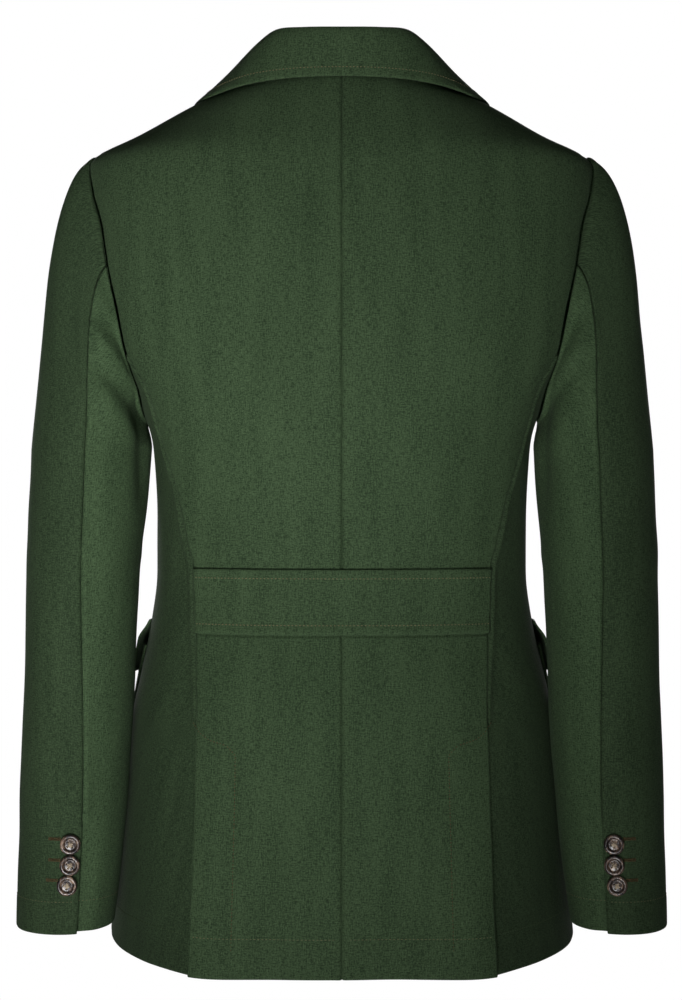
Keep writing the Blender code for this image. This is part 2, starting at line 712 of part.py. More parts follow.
def build_cuff_buttons():
    for side, name in ((1, "left"), (-1, "right")):
        for number, (level, angle) in enumerate(zip(CUFF_BUTTON_HEIGHTS, CUFF_BUTTON_ANGLES), 1):
            around = np.radians([angle])
            height = np.array([float(level)])
            on_cloth = arm_point(around, height)[0]
            turn = arm_point(around + 0.01, height)[0] - arm_point(around - 0.01, height)[0]
            fall = arm_point(around, height + 1)[0] - arm_point(around, height - 1)[0]
            normal = np.cross(turn, fall)
            normal /= np.linalg.norm(normal)
            seat = (on_cloth + normal * SEAM_GAP) * (side, 1, 1) * MM
            button(f"cuff_button_{name}_{number}", CUFF_BUTTON_RADIUS, seat, normal * (side, 1, 1))


def build_front_buttons():
    for number, level in enumerate(FRONT_BUTTON_HEIGHTS, 1):
        angle = np.array([math.pi])
        height = np.array([float(level)])
        normal = body_normal(angle, height)[0]
        seat = (body_point(angle, height)[0] + normal * FRONT_BUTTON_SHANK) * MM
        button(f"front_button_{number}", FRONT_BUTTON_RADIUS, seat, normal)


clear_scene()
build_backs()
build_sides()
build_fronts()
build_half_belt()
build_collar()
build_lapels()
build_sleeves()
build_pockets()
build_cuff_buttons()
build_front_buttons()
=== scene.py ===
"""A safari jacket in dark green linen, filled out as worn with no wearer in it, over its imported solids."""

import math

import bmesh
import bpy
import numpy as np
from mathutils import Matrix, Vector


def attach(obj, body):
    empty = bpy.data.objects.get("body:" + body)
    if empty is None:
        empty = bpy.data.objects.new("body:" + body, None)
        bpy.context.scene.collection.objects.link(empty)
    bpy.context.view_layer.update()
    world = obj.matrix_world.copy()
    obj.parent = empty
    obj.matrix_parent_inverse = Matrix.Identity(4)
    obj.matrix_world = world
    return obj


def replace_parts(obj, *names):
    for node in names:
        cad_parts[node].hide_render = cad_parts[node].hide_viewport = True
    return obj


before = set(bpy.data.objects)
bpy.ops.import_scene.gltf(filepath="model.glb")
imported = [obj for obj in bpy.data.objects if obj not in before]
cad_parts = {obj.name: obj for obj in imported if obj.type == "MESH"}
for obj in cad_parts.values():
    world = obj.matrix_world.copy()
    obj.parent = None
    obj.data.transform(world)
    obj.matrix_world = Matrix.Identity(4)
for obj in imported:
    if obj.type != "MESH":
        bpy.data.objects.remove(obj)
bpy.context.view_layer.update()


# ------------------------------------------------------------
# Back: two panels of plain-woven linen, joined by the centre back seam and pressed open. Each runs
# from the neckline over the shoulder and down to the hem, and laps over the side body at the vent.
# ------------------------------------------------------------
MM = 0.001
SEAM_GAP = 0.3
CLOTH = 1.3

# Level sections of the worn body in millimetres: height, half width, depth of the widest place,
# centre back, centre front, squareness.
BODY = (
    (25, 66, 5, 60, -27, 2),
    (16, 80, 5, 68.5, -38, 2),
    (4, 106, 5, 75.5, -48, 2),
    (-8, 129, 5, 81, -57, 2),
    (-20, 149.5, 5, 86, -65, 2),
    (-26, 160.5, 5, 88.5, -69, 2.01),
    (-32, 174, 4, 91, -73, 2.03),
    (-38, 190, 4, 93, -76, 2.06),
    (-47, 194, 3, 96, -82, 2.1),
    (-65, 194, 2, 99.5, -91, 2.17),
    (-90, 189.5, 1, 103.5, -103, 2.25),
    (-125, 186, 0, 106.5, -116, 2.3),
    (-165, 178.5, 0, 107.5, -127, 2.3),
    (-190, 171.5, 0, 107, -132, 2.3),
    (-225, 155, -2, 104, -135, 2.3),
    (-260, 144.6, -5, 97, -132, 2.3),
    (-315, 142, -8, 87, -121, 2.3),
    (-355, 142, -10, 85, -117, 2.3),
    (-392, 146.5, -13, 89, -120, 2.3),
    (-434, 156, -20, 99, -128, 2.3),
    (-463, 162.5, -26, 105.5, -133, 2.3),
    (-500, 167, -33, 112, -138, 2.3),
    (-560, 174, -45, 120, -144, 2.28),
    (-640, 182.5, -61, 127, -149, 2.27),
)
HEM = -640
VENT_FULLNESS = 18
VENT_FULLNESS_X = 105
VENT_FULLNESS_WIDTH = 38
VENT_FULLNESS_TOP = -400
NECK_BACK = 18
NECK_SIDE = 25
ARMHOLE_TOP = -38
ARMHOLE_BOTTOM = -237
ARMHOLE_HALF_WIDTH = 45
ARMHOLE_EGG = 10
# Side-back seam: height and distance from the centre line, from the armhole down.
BACK_SEAM_TOP = -190
BACK_SEAM = ((-222, 145), (-256, 135.8), (-285, 127.5), (-304, 121.5), (-331, 115.5), (-356, 109.8),
             (-403, 108.3), (-465, 106.5), (-503, 106.8), (-589, 108.3), (-640, 109.5))
VENT_TOP = -465
VENT_SINK = 3.4
VENT_SINK_RISE = 75
VENT_LIFT = 2.5


def ease(share):
    share = np.clip(share, 0, 1)
    return share * share * (3 - 2 * share)


def bell(away, width):
    return np.exp(-((away / width) ** 2))


def between(t, start, end, leave, arrive):
    """From start to end while t goes from 0 to 1, leaving and arriving at these rates."""
    ends = (2 * t**3 - 3 * t**2 + 1) * start + (3 * t**2 - 2 * t**3) * end
    return ends + ((t**3 - 2 * t**2 + t) * leave + (t**3 - t**2) * arrive)


def through(stops, values, at):
    """A smooth curve through values at rising stops, with no swing past any of them."""
    stops, values = np.asarray(stops, float), np.asarray(values, float)
    step = np.diff(stops)
    slope = np.diff(values, axis=-1) / step
    later, sooner = slope[..., 1:], slope[..., :-1]
    same = later * sooner > 0
    inner = np.where(same, 2 * later * sooner / np.where(same, later + sooner, 1), 0)
    lean = np.concatenate([slope[..., :1], inner, slope[..., -1:]], axis=-1)
    at = np.clip(at, stops[0], stops[-1])
    row = np.clip(np.searchsorted(stops, at, side="right") - 1, 0, len(step) - 1)
    t = (at - stops[row]) / step[row]

    def pick(table, index):
        return table[index] if table.ndim == 1 else np.take_along_axis(table, index[:, None], axis=-1)[:, 0]

    leave, arrive = (pick(lean, index) * step[row] for index in (row, row + 1))
    return between(t, pick(values, row), pick(values, row + 1), leave, arrive)


def softened(table, spread):
    """The columns of a table against height, a value each millimetre, with their corners softened."""
    rows = np.array(table, float)[::-1]
    heights = np.arange(rows[0, 0], rows[-1, 0] + 1)
    reach = np.arange(-3 * spread, 3 * spread + 1)
    weight = bell(reach, spread * math.sqrt(2))
    curves = []
    for column in rows.T[1:]:
        curve = through(rows[:, 0], column, heights)
        below = curve[0] - (curve[1] - curve[0]) * np.arange(3 * spread, 0, -1)
        above = curve[-1] + (curve[-1] - curve[-2]) * np.arange(1, 3 * spread + 1)
        curves.append(np.convolve(np.concatenate([below, curve, above]), weight / weight.sum(), "valid"))
    return heights, curves


BODY_CURVES = softened(BODY, 5)


def body_at(height):
    return [np.interp(height, BODY_CURVES[0], curve) for curve in BODY_CURVES[1]]


def ripple(u, v, size, seed):
    """Smooth uneven waves of about this size, between -1 and 1, the same on every run."""
    table = np.random.default_rng(seed).uniform(-1, 1, (64, 64))
    x, y = np.asarray(u) / size + 20.37, np.asarray(v) / size + 31.71
    x, y = np.broadcast_arrays(x, y)
    column, line = np.floor(x).astype(int), np.floor(y).astype(int)
    a, b = ease(x - column), ease(y - line)
    low = table[line % 64, column % 64] * (1 - a) + table[line % 64, (column + 1) % 64] * a
    top = table[(line + 1) % 64, column % 64] * (1 - a) + table[(line + 1) % 64, (column + 1) % 64] * a
    return low * (1 - b) + top * b


# Folds of the body's cloth, each between two places seen from behind: across and height in
# millimetres, how wide it spreads and how far it rises, on the wearer's left and right.
BODY_FOLDS = (
    (186, -52, 160, -60, 5, 0.5),
    (184, -62, 150, -75, 7, -0.5),
    (166, -160, 128, -262, 13, 1.3),
    (176, -150, 148, -236, 8, -1.2),
    (150, -245, 118, -330, 9, 0.9),
    (108, -338, 70, -330, 6, 0.5),
    (108, -345, 60, -343, 4, -0.5),
    (112, -356, 128, -420, 9, 0.8),
    (126, -300, 140, -250, 8, -0.9),
    (-186, -54, -156, -64, 6, 0.5),
    (-182, -64, -148, -80, 7, -0.6),
    (-166, -165, -126, -258, 13, 1.2),
    (-174, -150, -146, -232, 8, -1.1),
    (-152, -240, -116, -328, 9, 0.9),
    (-108, -336, -66, -331, 6, 0.5),
    (-108, -345, -58, -342, 4, -0.5),
    (-112, -358, -130, -425, 9, 0.8),
    (-126, -300, -142, -252, 8, -0.9),
)
FRONT_FOLDS = (
    (168, -150, 120, -236, 12, 1.2),
    (175, -140, 140, -225, 8, -1.1),
    (120, -300, 60, -326, 9, 0.9),
    (118, -322, 20, -336, 8, -0.9),
    (110, -350, 30, -338, 9, 0.7),
    (-166, -155, -118, -242, 12, 1.2),
    (-173, -142, -138, -228, 8, -1.1),
    (-122, -296, -58, -322, 9, 0.9),
    (-116, -320, -20, -334, 8, -0.9),
    (-112, -352, -34, -339, 9, 0.7),
)


def folded(across, height, folds):
    """How far a set of folds lifts the cloth at these places."""
    lift = 0 * across
    for x0, z0, x1, z1, width, rise in folds:
        run = np.array([x1 - x0, z1 - z0], float)
        length = np.hypot(*run)
        along = ((across - x0) * run[0] + (height - z0) * run[1]) / length**2
        aside = ((across - x0) * run[1] - (height - z0) * run[0]) / length
        aside = aside + 0.12 * width * np.sin(5 * along + x0)
        lift = lift + rise * bell(aside, width) * ease((along + 0.25) / 0.5) * ease((1.25 - along) / 0.5)
    return lift


def body_drape(turn, height, x, y):
    """How far the worn cloth stands off the smooth body: broad soft waves and its main folds."""
    back, front = ease(0.1 + 1.6 * np.cos(turn)), ease(0.1 - 1.6 * np.cos(turn))

    def waves(along, seed):
        return 1.4 * ripple(along, height * 0.35, 58, seed) + 0.55 * ripple(along, height * 0.5, 25, seed + 1)

    lift = back * (waves(x, 3) + folded(x, height, BODY_FOLDS))
    lift = lift + front * (waves(x, 5) + folded(x, height, FRONT_FOLDS))
    lift = lift + np.maximum(1 - back - front, 0) * waves(y + 500 * np.sign(x), 7)
    return lift * ease((20 - height) / 50)


def smooth_body_point(turn, height):
    half_width, widest_y, back_y, front_y, squareness = body_at(height)
    depth = np.where(np.cos(turn) > 0, back_y - widest_y, widest_y - front_y)
    across = np.abs(np.sin(turn) / half_width) ** squareness
    along = np.abs(np.cos(turn) / depth) ** squareness
    radius = (across + along) ** (-1 / squareness)
    x = radius * np.sin(turn)
    fuller = VENT_FULLNESS * np.clip((VENT_FULLNESS_TOP - height) / (VENT_FULLNESS_TOP - HEM), 0, 1)
    fuller = fuller * bell(np.abs(x) - VENT_FULLNESS_X, VENT_FULLNESS_WIDTH) * ease(3 * np.cos(turn))
    return np.stack([x, widest_y + radius * np.cos(turn) + fuller, height + 0 * turn], axis=-1)


def body_normal(turn, height):
    across = smooth_body_point(turn + 0.006, height) - smooth_body_point(turn - 0.006, height)
    along = smooth_body_point(turn, height + 1.5) - smooth_body_point(turn, height - 1.5)
    normal = np.cross(along, across)
    return normal / np.linalg.norm(normal, axis=-1, keepdims=True)


def over_body(turn, height, offset=0.0):
    """A point this far outside the worn cloth. Turn 0 is centre back, and the wearer's left is positive."""
    turn, height = np.broadcast_arrays(np.asarray(turn, float), np.asarray(height, float))
    point = smooth_body_point(turn, height)
    lift = body_drape(turn, height, point[..., 0], point[..., 1]) + offset
    return point + lift[..., None] * body_normal(turn, height)


def on_body(side, turn, height, offset=0.0):
    """The same for either side, as if it were the wearer's left one."""
    return over_body(side * turn, height, offset) * (side, 1, 1)


def body_turn(x, height, front=False):
    """The turn at which the back or the front lies this far from the centre line."""
    half_width, widest_y, back_y, front_y, squareness = body_at(height)
    depth = widest_y - front_y if front else back_y - widest_y
    share = np.clip(np.abs(x) / half_width, 0, 1)
    y = depth * (1 - share**squareness) ** (1 / squareness)
    return np.mod(np.arctan2(x, -y if front else y), 2 * math.pi)


def gap_turn(turn, height):
    point = smooth_body_point(turn, height)
    return SEAM_GAP / 2 / np.hypot(point[..., 0], point[..., 1])


def armhole_point(around):
    """A point of the armhole's edge. Around 0 is the shoulder, 90 degrees the back, 180 the underarm."""
    middle = (ARMHOLE_TOP + ARMHOLE_BOTTOM) / 2
    height = middle + (ARMHOLE_TOP - middle) * np.cos(around)
    half_width, widest_y, back_y, front_y, squareness = body_at(height)
    off = np.sin(around) * (ARMHOLE_HALF_WIDTH - ARMHOLE_EGG * np.cos(around))
    depth = np.where(off > 0, back_y - widest_y, widest_y - front_y)
    x = half_width * (1 - np.abs(off / depth) ** squareness) ** (1 / squareness)
    return np.stack([x, widest_y + off, height], axis=-1)


def armhole_turn(height, front=False):
    middle = (ARMHOLE_TOP + ARMHOLE_BOTTOM) / 2
    around = np.arccos(np.clip((height - middle) / (ARMHOLE_TOP - middle), -1, 1))
    point = armhole_point(-around if front else around)
    return np.arctan2(point[..., 0], point[..., 1] - body_at(point[..., 2])[1])


def seam_turn(seam, top, height, front=False):
    """The turn of a body seam that starts at the armhole's edge at its top."""
    level = np.array([float(top)])
    start = smooth_body_point(armhole_turn(level, front), level)[0, 0]
    heights, places = zip(*seam[::-1], (top, start))
    return body_turn(through(heights, places, height), height, front)


def side_back_seam(height):
    return seam_turn(BACK_SEAM, BACK_SEAM_TOP, height)


def back_edge(height):
    """The outer edge of the back: shoulder seam, armhole, then side-back seam."""
    lower = np.where(height < BACK_SEAM_TOP, side_back_seam(height), armhole_turn(height))
    return np.where(height > ARMHOLE_TOP, math.pi / 2, lower)


def spaced(length, step):
    """Shares of a length, a step apart and closer together beside both edges, for their seams and hems."""
    start = np.array([0, 0.4, 1.0, 1.8, 3.0, 4.6, 6.6])
    end = length - start[::-1]
    count = max(2, int(round((end[0] - start[-1]) / step)))
    middle = np.linspace(start[-1], end[0], count + 1)[1:-1]
    return np.concatenate([start, middle, end]) / length


def linen_weave():
    """Plain weave as yarns over and under, with slubs: a shade for the colour and a height for the relief."""
    group = bpy.data.node_groups.new("linen weave", "ShaderNodeTree")
    group.interface.new_socket("Yarns per metre", in_out="INPUT", socket_type="NodeSocketFloat")
    group.interface.new_socket("Shade", in_out="OUTPUT", socket_type="NodeSocketFloat")
    group.interface.new_socket("Height", in_out="OUTPUT", socket_type="NodeSocketFloat")
    nodes, links = group.nodes, group.links
    inlet = nodes.new("NodeGroupInput")
    outlet = nodes.new("NodeGroupOutput")
    cloth = nodes.new("ShaderNodeUVMap")
    cloth.uv_map = "cloth"

    def math_node(operation, first, second=None):
        node = nodes.new("ShaderNodeMath")
        node.operation = operation
        for socket, value in zip(node.inputs, (first, second)):
            if isinstance(value, (int, float)):
                socket.default_value = value
            elif value is not None:
                links.new(value, socket)
        return node.outputs[0]

    def streaks(scale_u, scale_v, detail):
        stretch = nodes.new("ShaderNodeVectorMath")
        stretch.operation = "MULTIPLY"
        stretch.inputs[1].default_value = (scale_u, scale_v, 1)
        links.new(cloth.outputs[0], stretch.inputs[0])
        noise = nodes.new("ShaderNodeTexNoise")
        noise.noise_dimensions = "2D"
        noise.inputs["Scale"].default_value = 1
        noise.inputs["Detail"].default_value = detail
        links.new(stretch.outputs[0], noise.inputs["Vector"])
        return noise.outputs["Fac"]

    place = nodes.new("ShaderNodeSeparateXYZ")
    links.new(cloth.outputs[0], place.inputs[0])
    yarn = math_node("MULTIPLY", inlet.outputs[0], math.pi)
    across = math_node("SINE", math_node("MULTIPLY", place.outputs[0], yarn))
    down = math_node("SINE", math_node("MULTIPLY", place.outputs[1], yarn))
    over_under = math_node("MULTIPLY", across, down)
    warp = streaks(1300, 190, 1)
    weft = streaks(240, 1300, 1)
    slub = math_node("ADD", warp, weft)
    fibres = streaks(900, 900, 2)
    worn = streaks(70, 12, 3)
    for outcome, first, *others in (
        ("Shade", (slub, 0.25), (fibres, 0.36), (over_under, 0.03), (worn, 0.12)),
        ("Height", (slub, 0.7), (over_under, 0.3), (fibres, 0.6)),
    ):
        total = math_node("MULTIPLY", *first)
        for part in others:
            total = math_node("ADD", total, math_node("MULTIPLY", *part))
        links.new(total, outlet.inputs[outcome])
    return group


LINEN_WEAVE = linen_weave()
YARNS_PER_METRE = 1700
LINEN_DARK = (0.019, 0.037, 0.016)
LINEN_LIGHT = (0.073, 0.121, 0.057)


def new_material(name, inputs):
    material = bpy.data.materials.new(name)
    material.use_nodes = True
    nodes, links = material.node_tree.nodes, material.node_tree.links
    shader = nodes["Principled BSDF"]
    for socket, value in inputs.items():
        shader.inputs[socket].default_value = value
    return material, nodes, links, shader


def toned(nodes, links, shader, value, tones):
    """Colours a shader by a value: each tone is a place on the way from 0 to 1 and its colour."""
    ramp = nodes.new("ShaderNodeValToRGB")
    stops = ramp.color_ramp.elements
    stops.remove(stops[-1])
    stops[0].position = tones[0][0]
    for position, _ in tones[1:]:
        stops.new(position)
    for stop, (_, colour) in zip(stops, tones):
        stop.color = (*colour, 1)
    links.new(value, ramp.inputs[0])
    links.new(ramp.outputs[0], shader.inputs["Base Color"])


def linen(name, dark=LINEN_DARK, light=LINEN_LIGHT, relief=0.3, shade=1.0):
    """Matt woven cloth or thread between a dark and a light colour, with a bump for its yarns; shade scales
    both colours, darker copies as painted shade and a lighter one as painted light.
    """
    material, nodes, links, shader = new_material(name, {
        "Roughness": 0.86, "Specular IOR Level": 0.15,
        "Sheen Weight": 0.04, "Sheen Roughness": 0.5, "Sheen Tint": (0.45, 0.6, 0.42, 1),
    })
    weave = nodes.new("ShaderNodeGroup")
    weave.node_tree = LINEN_WEAVE
    weave.inputs[0].default_value = YARNS_PER_METRE
    tones = [(0.36, [shade * part for part in dark]), (0.66, [shade * part for part in light])]
    toned(nodes, links, shader, weave.outputs["Shade"], tones)
    bump = nodes.new("ShaderNodeBump")
    bump.inputs["Strength"].default_value = relief
    bump.inputs["Distance"].default_value = 0.0004
    links.new(weave.outputs["Height"], bump.inputs["Height"])
    links.new(bump.outputs[0], shader.inputs["Normal"])
    return material


GREEN_LINEN = linen("green linen")
# The side bodies' copy of the linen is darkened to 0.74 as painted shade, for the shade the arms cast on the
# sides.
SHADED_SIDE_LINEN = linen("green linen of the sides, darkened as painted shade", shade=0.74)
# The top sleeves' copy of the linen is darkened to 0.8 as painted shade, for the dimmer light on the outer
# sides of the arms.
SHADED_TOP_SLEEVE_LINEN = linen("green linen of the top sleeves, darkened as painted shade", shade=0.8)
# The under sleeves' copy of the linen is brightened to 1.15 as painted light, for the brighter light on the
# backs of the arms.
LIT_UNDER_SLEEVE_LINEN = linen("green linen of the under sleeves", shade=1.15)


def seamed(away, along, seed, ridge=0.3, at=4.0, sunk=0.9):
    """Beside a seam the cloth rolls down into it, over a low ridge of seam allowance, with small puckers."""
    pucker = ripple(along, 0 * along, 11, seed) + 0.6 * ripple(along, 0 * along, 5, seed + 1)
    padding = ridge * bell(away - at, 0.7 * at) * (1 + 0.4 * ripple(along, 0 * along, 20, seed + 2))
    return padding - sunk * bell(away, 0.9) + 0.22 * pucker * np.exp(-away / 7)


def hemmed(away, along, depth, seed):
    """A turned-up hem is rounded at its fold, a little fuller, and drawn in along its stitches."""
    drawn = 1 + 0.5 * ripple(along, 0 * along, 9, seed)
    full = 0.25 * (1 - ease((away - depth + 1) / 3))
    return full - 0.55 * bell(away, 0.7) - 0.22 * drawn * bell(away - depth, 1.1)


def folded_edge(away, along, seed):
    """A bagged-out edge is rounded and rolls slightly."""
    return -0.5 * bell(away, 0.8) + 0.12 * ripple(along, 0 * along, 24, seed) * np.exp(-away / 6)


def meshed(name, shape):
    """The mesh that a finished bmesh leaves behind."""
    mesh = bpy.data.meshes.new(name)
    shape.to_mesh(mesh)
    shape.free()
    return mesh


def placed(name, data):
    thing = bpy.data.objects.new(name, data)
    bpy.context.collection.objects.link(thing)
    return thing


def riding(name, mesh, material):
    """A finished mesh as a piece of the jacket's one body."""
    piece = placed(name, mesh)
    mesh.materials.append(material)
    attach(piece, "root")
    return piece


def cloth_shell(name, place, ups, downs, relief=None, side=1, outwards=1, wall=CLOTH, grain=0.5,
                cloth=GREEN_LINEN):
    """Cloth as a thin closed shell: a grid placed by (across, down, side), with the relief of its edges.

    Its grain runs straight at this share of the way across.
    """
    grid = bmesh.new()
    bmesh.ops.create_grid(grid, x_segments=len(ups) - 1, y_segments=len(downs) - 1, size=1)
    inner = bmesh.ops.extrude_face_region(grid, geom=grid.faces[:], use_keep_orig=True)["geom"]
    inner = [part for part in inner if isinstance(part, bmesh.types.BMVert)]
    bmesh.ops.translate(grid, verts=inner, vec=(0, 0, 1))
    flat = np.array([vert.co[:] for vert in grid.verts])
    column = np.rint((1 + flat[:, 0]) / 2 * (len(ups) - 1)).astype(int)
    row = np.rint((1 - flat[:, 1]) / 2 * (len(downs) - 1)).astype(int)
    across, down = np.meshgrid(ups, downs)
    point = place(across.ravel(), down.ravel(), side).reshape(len(downs), len(ups), 3)
    right = np.linalg.norm(np.diff(point, axis=1), axis=2)
    fall = np.linalg.norm(np.diff(point, axis=0), axis=2)
    u = np.concatenate([0 * right[:, :1], np.cumsum(right, axis=1)], axis=1)
    v = np.concatenate([0 * fall[:1], np.cumsum(fall, axis=0)], axis=0)
    normal = np.cross(-np.gradient(point, axis=0), np.gradient(point, axis=1)) * outwards
    normal /= np.maximum(np.linalg.norm(normal, axis=2, keepdims=True), 1e-9)
    lift = relief(u, u[:, -1:] - u, v, v[-1:] - v) if relief else 0 * u
    outer = point + normal * lift[..., None]
    spots = outer[row, column] - (wall * flat[:, 2])[:, None] * normal[row, column]
    spots = spots * MM * (side, 1, 1)
    for vert, spot in zip(grid.verts, spots):
        vert.co = spot
    bmesh.ops.recalc_face_normals(grid, faces=grid.faces)
    if grid.calc_volume(signed=True) < 0:
        bmesh.ops.reverse_faces(grid, faces=grid.faces)
    mesh = meshed(name, grid)
    corners = np.empty(len(mesh.loops), int)
    mesh.loops.foreach_get("vertex_index", corners)
    straight = u[:, [round(grain * (len(ups) - 1))]]
    laid = np.stack([side * (u - straight)[row, column], (v[-1:] - v)[row, column]], axis=1)[corners] * MM
    mesh.uv_layers.new(name="cloth").data.foreach_set("uv", laid.astype(np.float32).ravel())
    mesh.shade_smooth()
    return riding(name, mesh, cloth)


def lay_cloth(node, *shape, **how):
    """The cloth that stands for a node."""
    piece = cloth_shell(f"{node}_cloth", *shape, **how)
    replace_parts(piece, node)
    return piece


ALLOWANCE_WIDTH = 22.0
ALLOWANCE_WALL = 0.6
ALLOWANCE_GAP = 0.35


def pressed_open(name, seam, top, bottom, side=1, sunk=lambda height: 0):
    """Seam allowances pressed open inside: a strip under a seam whose turn is a function of height."""

    def place(across, down, side):
        height = top + down * (bottom - top)
        turn = seam(height)
        radius = np.hypot(*np.moveaxis(smooth_body_point(turn, height)[..., :2], -1, 0))
        under = CLOTH + ALLOWANCE_GAP + sunk(height)
        turn = turn + (across - 0.5) * ALLOWANCE_WIDTH / radius
        return on_body(side, turn, height, -under)

    downs = np.linspace(0, 1, int(abs(top - bottom) / 6))
    return cloth_shell(name, place, np.linspace(0, 1, 7), downs, side=side, wall=ALLOWANCE_WALL)


LIE_DOWN = Matrix.Rotation(math.pi / 2, 4, "Y")
THREAD_GREEN = linen("green thread", (0.03, 0.055, 0.022), (0.09, 0.13, 0.06), relief=0.0)
THREAD_OLIVE = linen("olive thread", (0.07, 0.065, 0.03), (0.24, 0.22, 0.12), relief=0.0)
THREAD_BROWN = linen("brown thread", (0.04, 0.028, 0.012), (0.13, 0.085, 0.04), relief=0.0)


def measured(points):
    """How far along a line each of its points lies."""
    return np.concatenate([[0], np.cumsum(np.linalg.norm(np.diff(points, axis=0), axis=1))])


def value_at(at, run, rows):
    return np.array([np.interp(at, run, column) for column in rows.T])


def stitch(thread, middle, half_axes, rings):
    """Adds one stitch, a ball drawn out to three half axes."""
    axes = Matrix(half_axes).transposed() * MM
    bmesh.ops.create_uvsphere(thread, u_segments=6, v_segments=rings, radius=1,
                              matrix=Matrix.Translation(middle * MM) @ axes.to_4x4() @ LIE_DOWN)


def sewn(name, thread, material):
    """The piece that a bmesh of stitches makes."""
    bmesh.ops.recalc_face_normals(thread, faces=thread.faces)
    mesh = meshed(name, thread)
    mesh.uv_layers.new(name="cloth")
    mesh.shade_smooth()
    return riding(name, mesh, material)


def topstitch(name, runs, material=THREAD_GREEN, pitch=2.8, bite=0.62, thick=0.4, side=1):
    """Machine stitches along runs of points on a cloth surface: each is (points, normals), in millimetres."""
    thread = bmesh.new()
    for points, normals in runs:
        points, normals = points * (side, 1, 1), normals * (side, 1, 1)
        run = measured(points)
        for number, start in enumerate(np.arange(pitch / 2, run[-1] - pitch / 2, pitch)):
            before = value_at(start - pitch * bite / 2, run, points)
            after = value_at(start + pitch * bite / 2, run, points)
            up = Vector(value_at(start, run, normals)).normalized()
            along = Vector(after - before)
            aside = up.cross(along.normalized())
            middle = Vector((before + after) / 2) + up * (0.05 + 0.03 * math.sin(number * 2.4))
            stitch(thread, middle, (along / 2, aside * thick, up * thick), 4)
    return sewn(name, thread, material)


def run_on(place, across, down, side=1, outwards=1):
    """Points and normals along a line on a piece, from its shares across and down."""
    across, down = np.broadcast_arrays(np.asarray(across, float), np.asarray(down, float))
    point = place(across, down, side)
    step = 0.004
    wide = place(np.minimum(across + step, 1), down, side) - place(np.maximum(across - step, 0), down, side)
    high = place(across, np.maximum(down - step, 0), side) - place(across, np.minimum(down + step, 1), side)
    normal = np.cross(high, wide) * outwards
    return point, normal / np.linalg.norm(normal, axis=-1, keepdims=True)


SHOULDER_SHARE = 0.1


def shoulder_and_down(neck, down):
    """Heights down a front or back: rising to the neckline over the shoulder, level rows below it."""
    fan = 1 - down / SHOULDER_SHARE
    level = ARMHOLE_TOP + (down - SHOULDER_SHARE) / (1 - SHOULDER_SHARE) * (HEM - ARMHOLE_TOP)
    return np.where(fan > 0, ARMHOLE_TOP + fan * (neck - ARMHOLE_TOP), level)


def share_down(height):
    """The share of the way down a front or back at which its rows reach this level."""
    return SHOULDER_SHARE + (1 - SHOULDER_SHARE) * (height - ARMHOLE_TOP) / (HEM - ARMHOLE_TOP)


def vent_sink(height):
    """Towards the vent the side body drops in under the back."""
    return VENT_SINK * ease((VENT_TOP + VENT_SINK_RISE - height) / VENT_SINK_RISE)


def beside_belt(height):
    """The back gives way a little along both edges of the belt that is stitched over it."""
    return 0.3 * bell(height - BELT_TOP - 0.4, 0.8) + 1.1 * bell(height - BELT_BOTTOM + 0.5, 0.9)


HEM_DEPTH = 27
VENT_LENGTH = VENT_TOP - HEM
FADE = 10


def vent_lift(height, across):
    """The back's outer edge stands off the side body below the top of the vent."""
    return VENT_LIFT * ease((VENT_TOP - height) / VENT_LENGTH) * across**3


def back_place(across, down, side):
    height = shoulder_and_down(NECK_BACK + (NECK_SIDE - NECK_BACK) * across**2, down)
    edge = back_edge(height)
    centre = gap_turn(0 * height, height)
    turn = centre + across * (edge - gap_turn(edge, height) - centre)
    return on_body(side, turn, height, vent_lift(height, across) - beside_belt(height))


def back_relief(left, right, top, bottom):
    at_vent = ease((VENT_LENGTH + 7 - bottom) / FADE)
    centre = seamed(left, bottom, 11, 0.5, 3.0, 1.2)
    outer = seamed(right, bottom, 14, 0.15, sunk=0.75) * (1 - at_vent)
    outer = outer + folded_edge(right, bottom, 17) * at_vent
    return centre + outer + hemmed(bottom, left, HEM_DEPTH, 19) + seamed(top, left, 23, 0.1)


SIDES = ((1, "left"), (-1, "right"))
BODY_STEP_ACROSS = 3.6
BODY_STEP_DOWN = 3.8
BODY_LENGTH = 690
BACK_WIDTH = 150
BELT_TOP = -351
BELT_BOTTOM = -398.5
# Closer rows where the belt's edges press into the back.
at_belt = np.concatenate([edge + np.linspace(-2.4, 2.4, 7) for edge in (BELT_TOP, BELT_BOTTOM)])
BACK_ROWS = np.unique(np.concatenate([spaced(BODY_LENGTH, BODY_STEP_DOWN), share_down(at_belt)]))
for side, name in SIDES:
    columns = spaced(BACK_WIDTH, BODY_STEP_ACROSS)
    back = lay_cloth(f"back_{name}", back_place, columns, BACK_ROWS, back_relief, side, grain=0)
    start, end = BACK_SEAM_TOP - 12, VENT_TOP - 4
    allowances = [pressed_open(f"side_back_allowance_{name}", back_edge, start, end, side, vent_sink)]
    if side > 0:
        centre = pressed_open("centre_back_allowance", lambda height: 0 * height, NECK_BACK - 1.5, HEM + 0.4)
        allowances.append(centre)


# ------------------------------------------------------------
# Side bodies: one panel under each arm, from the side-back seam to the side-front seam. Its back edge
# runs on under the back panel as the underlap of the side vent.
# ------------------------------------------------------------
FRONT_SEAM_TOP = -215
FRONT_SEAM = ((-240, 143), (-260, 137), (-300, 130), (-355, 124), (-434, 128), (-560, 143), (-640, 150))
SIDE_FAN_END = -260
VENT_UNDERLAP = 30
VENT_SLOPE = 13
VENT_SINK_WIDTH = 26


def side_front_seam(height):
    return seam_turn(FRONT_SEAM, FRONT_SEAM_TOP, height, front=True)


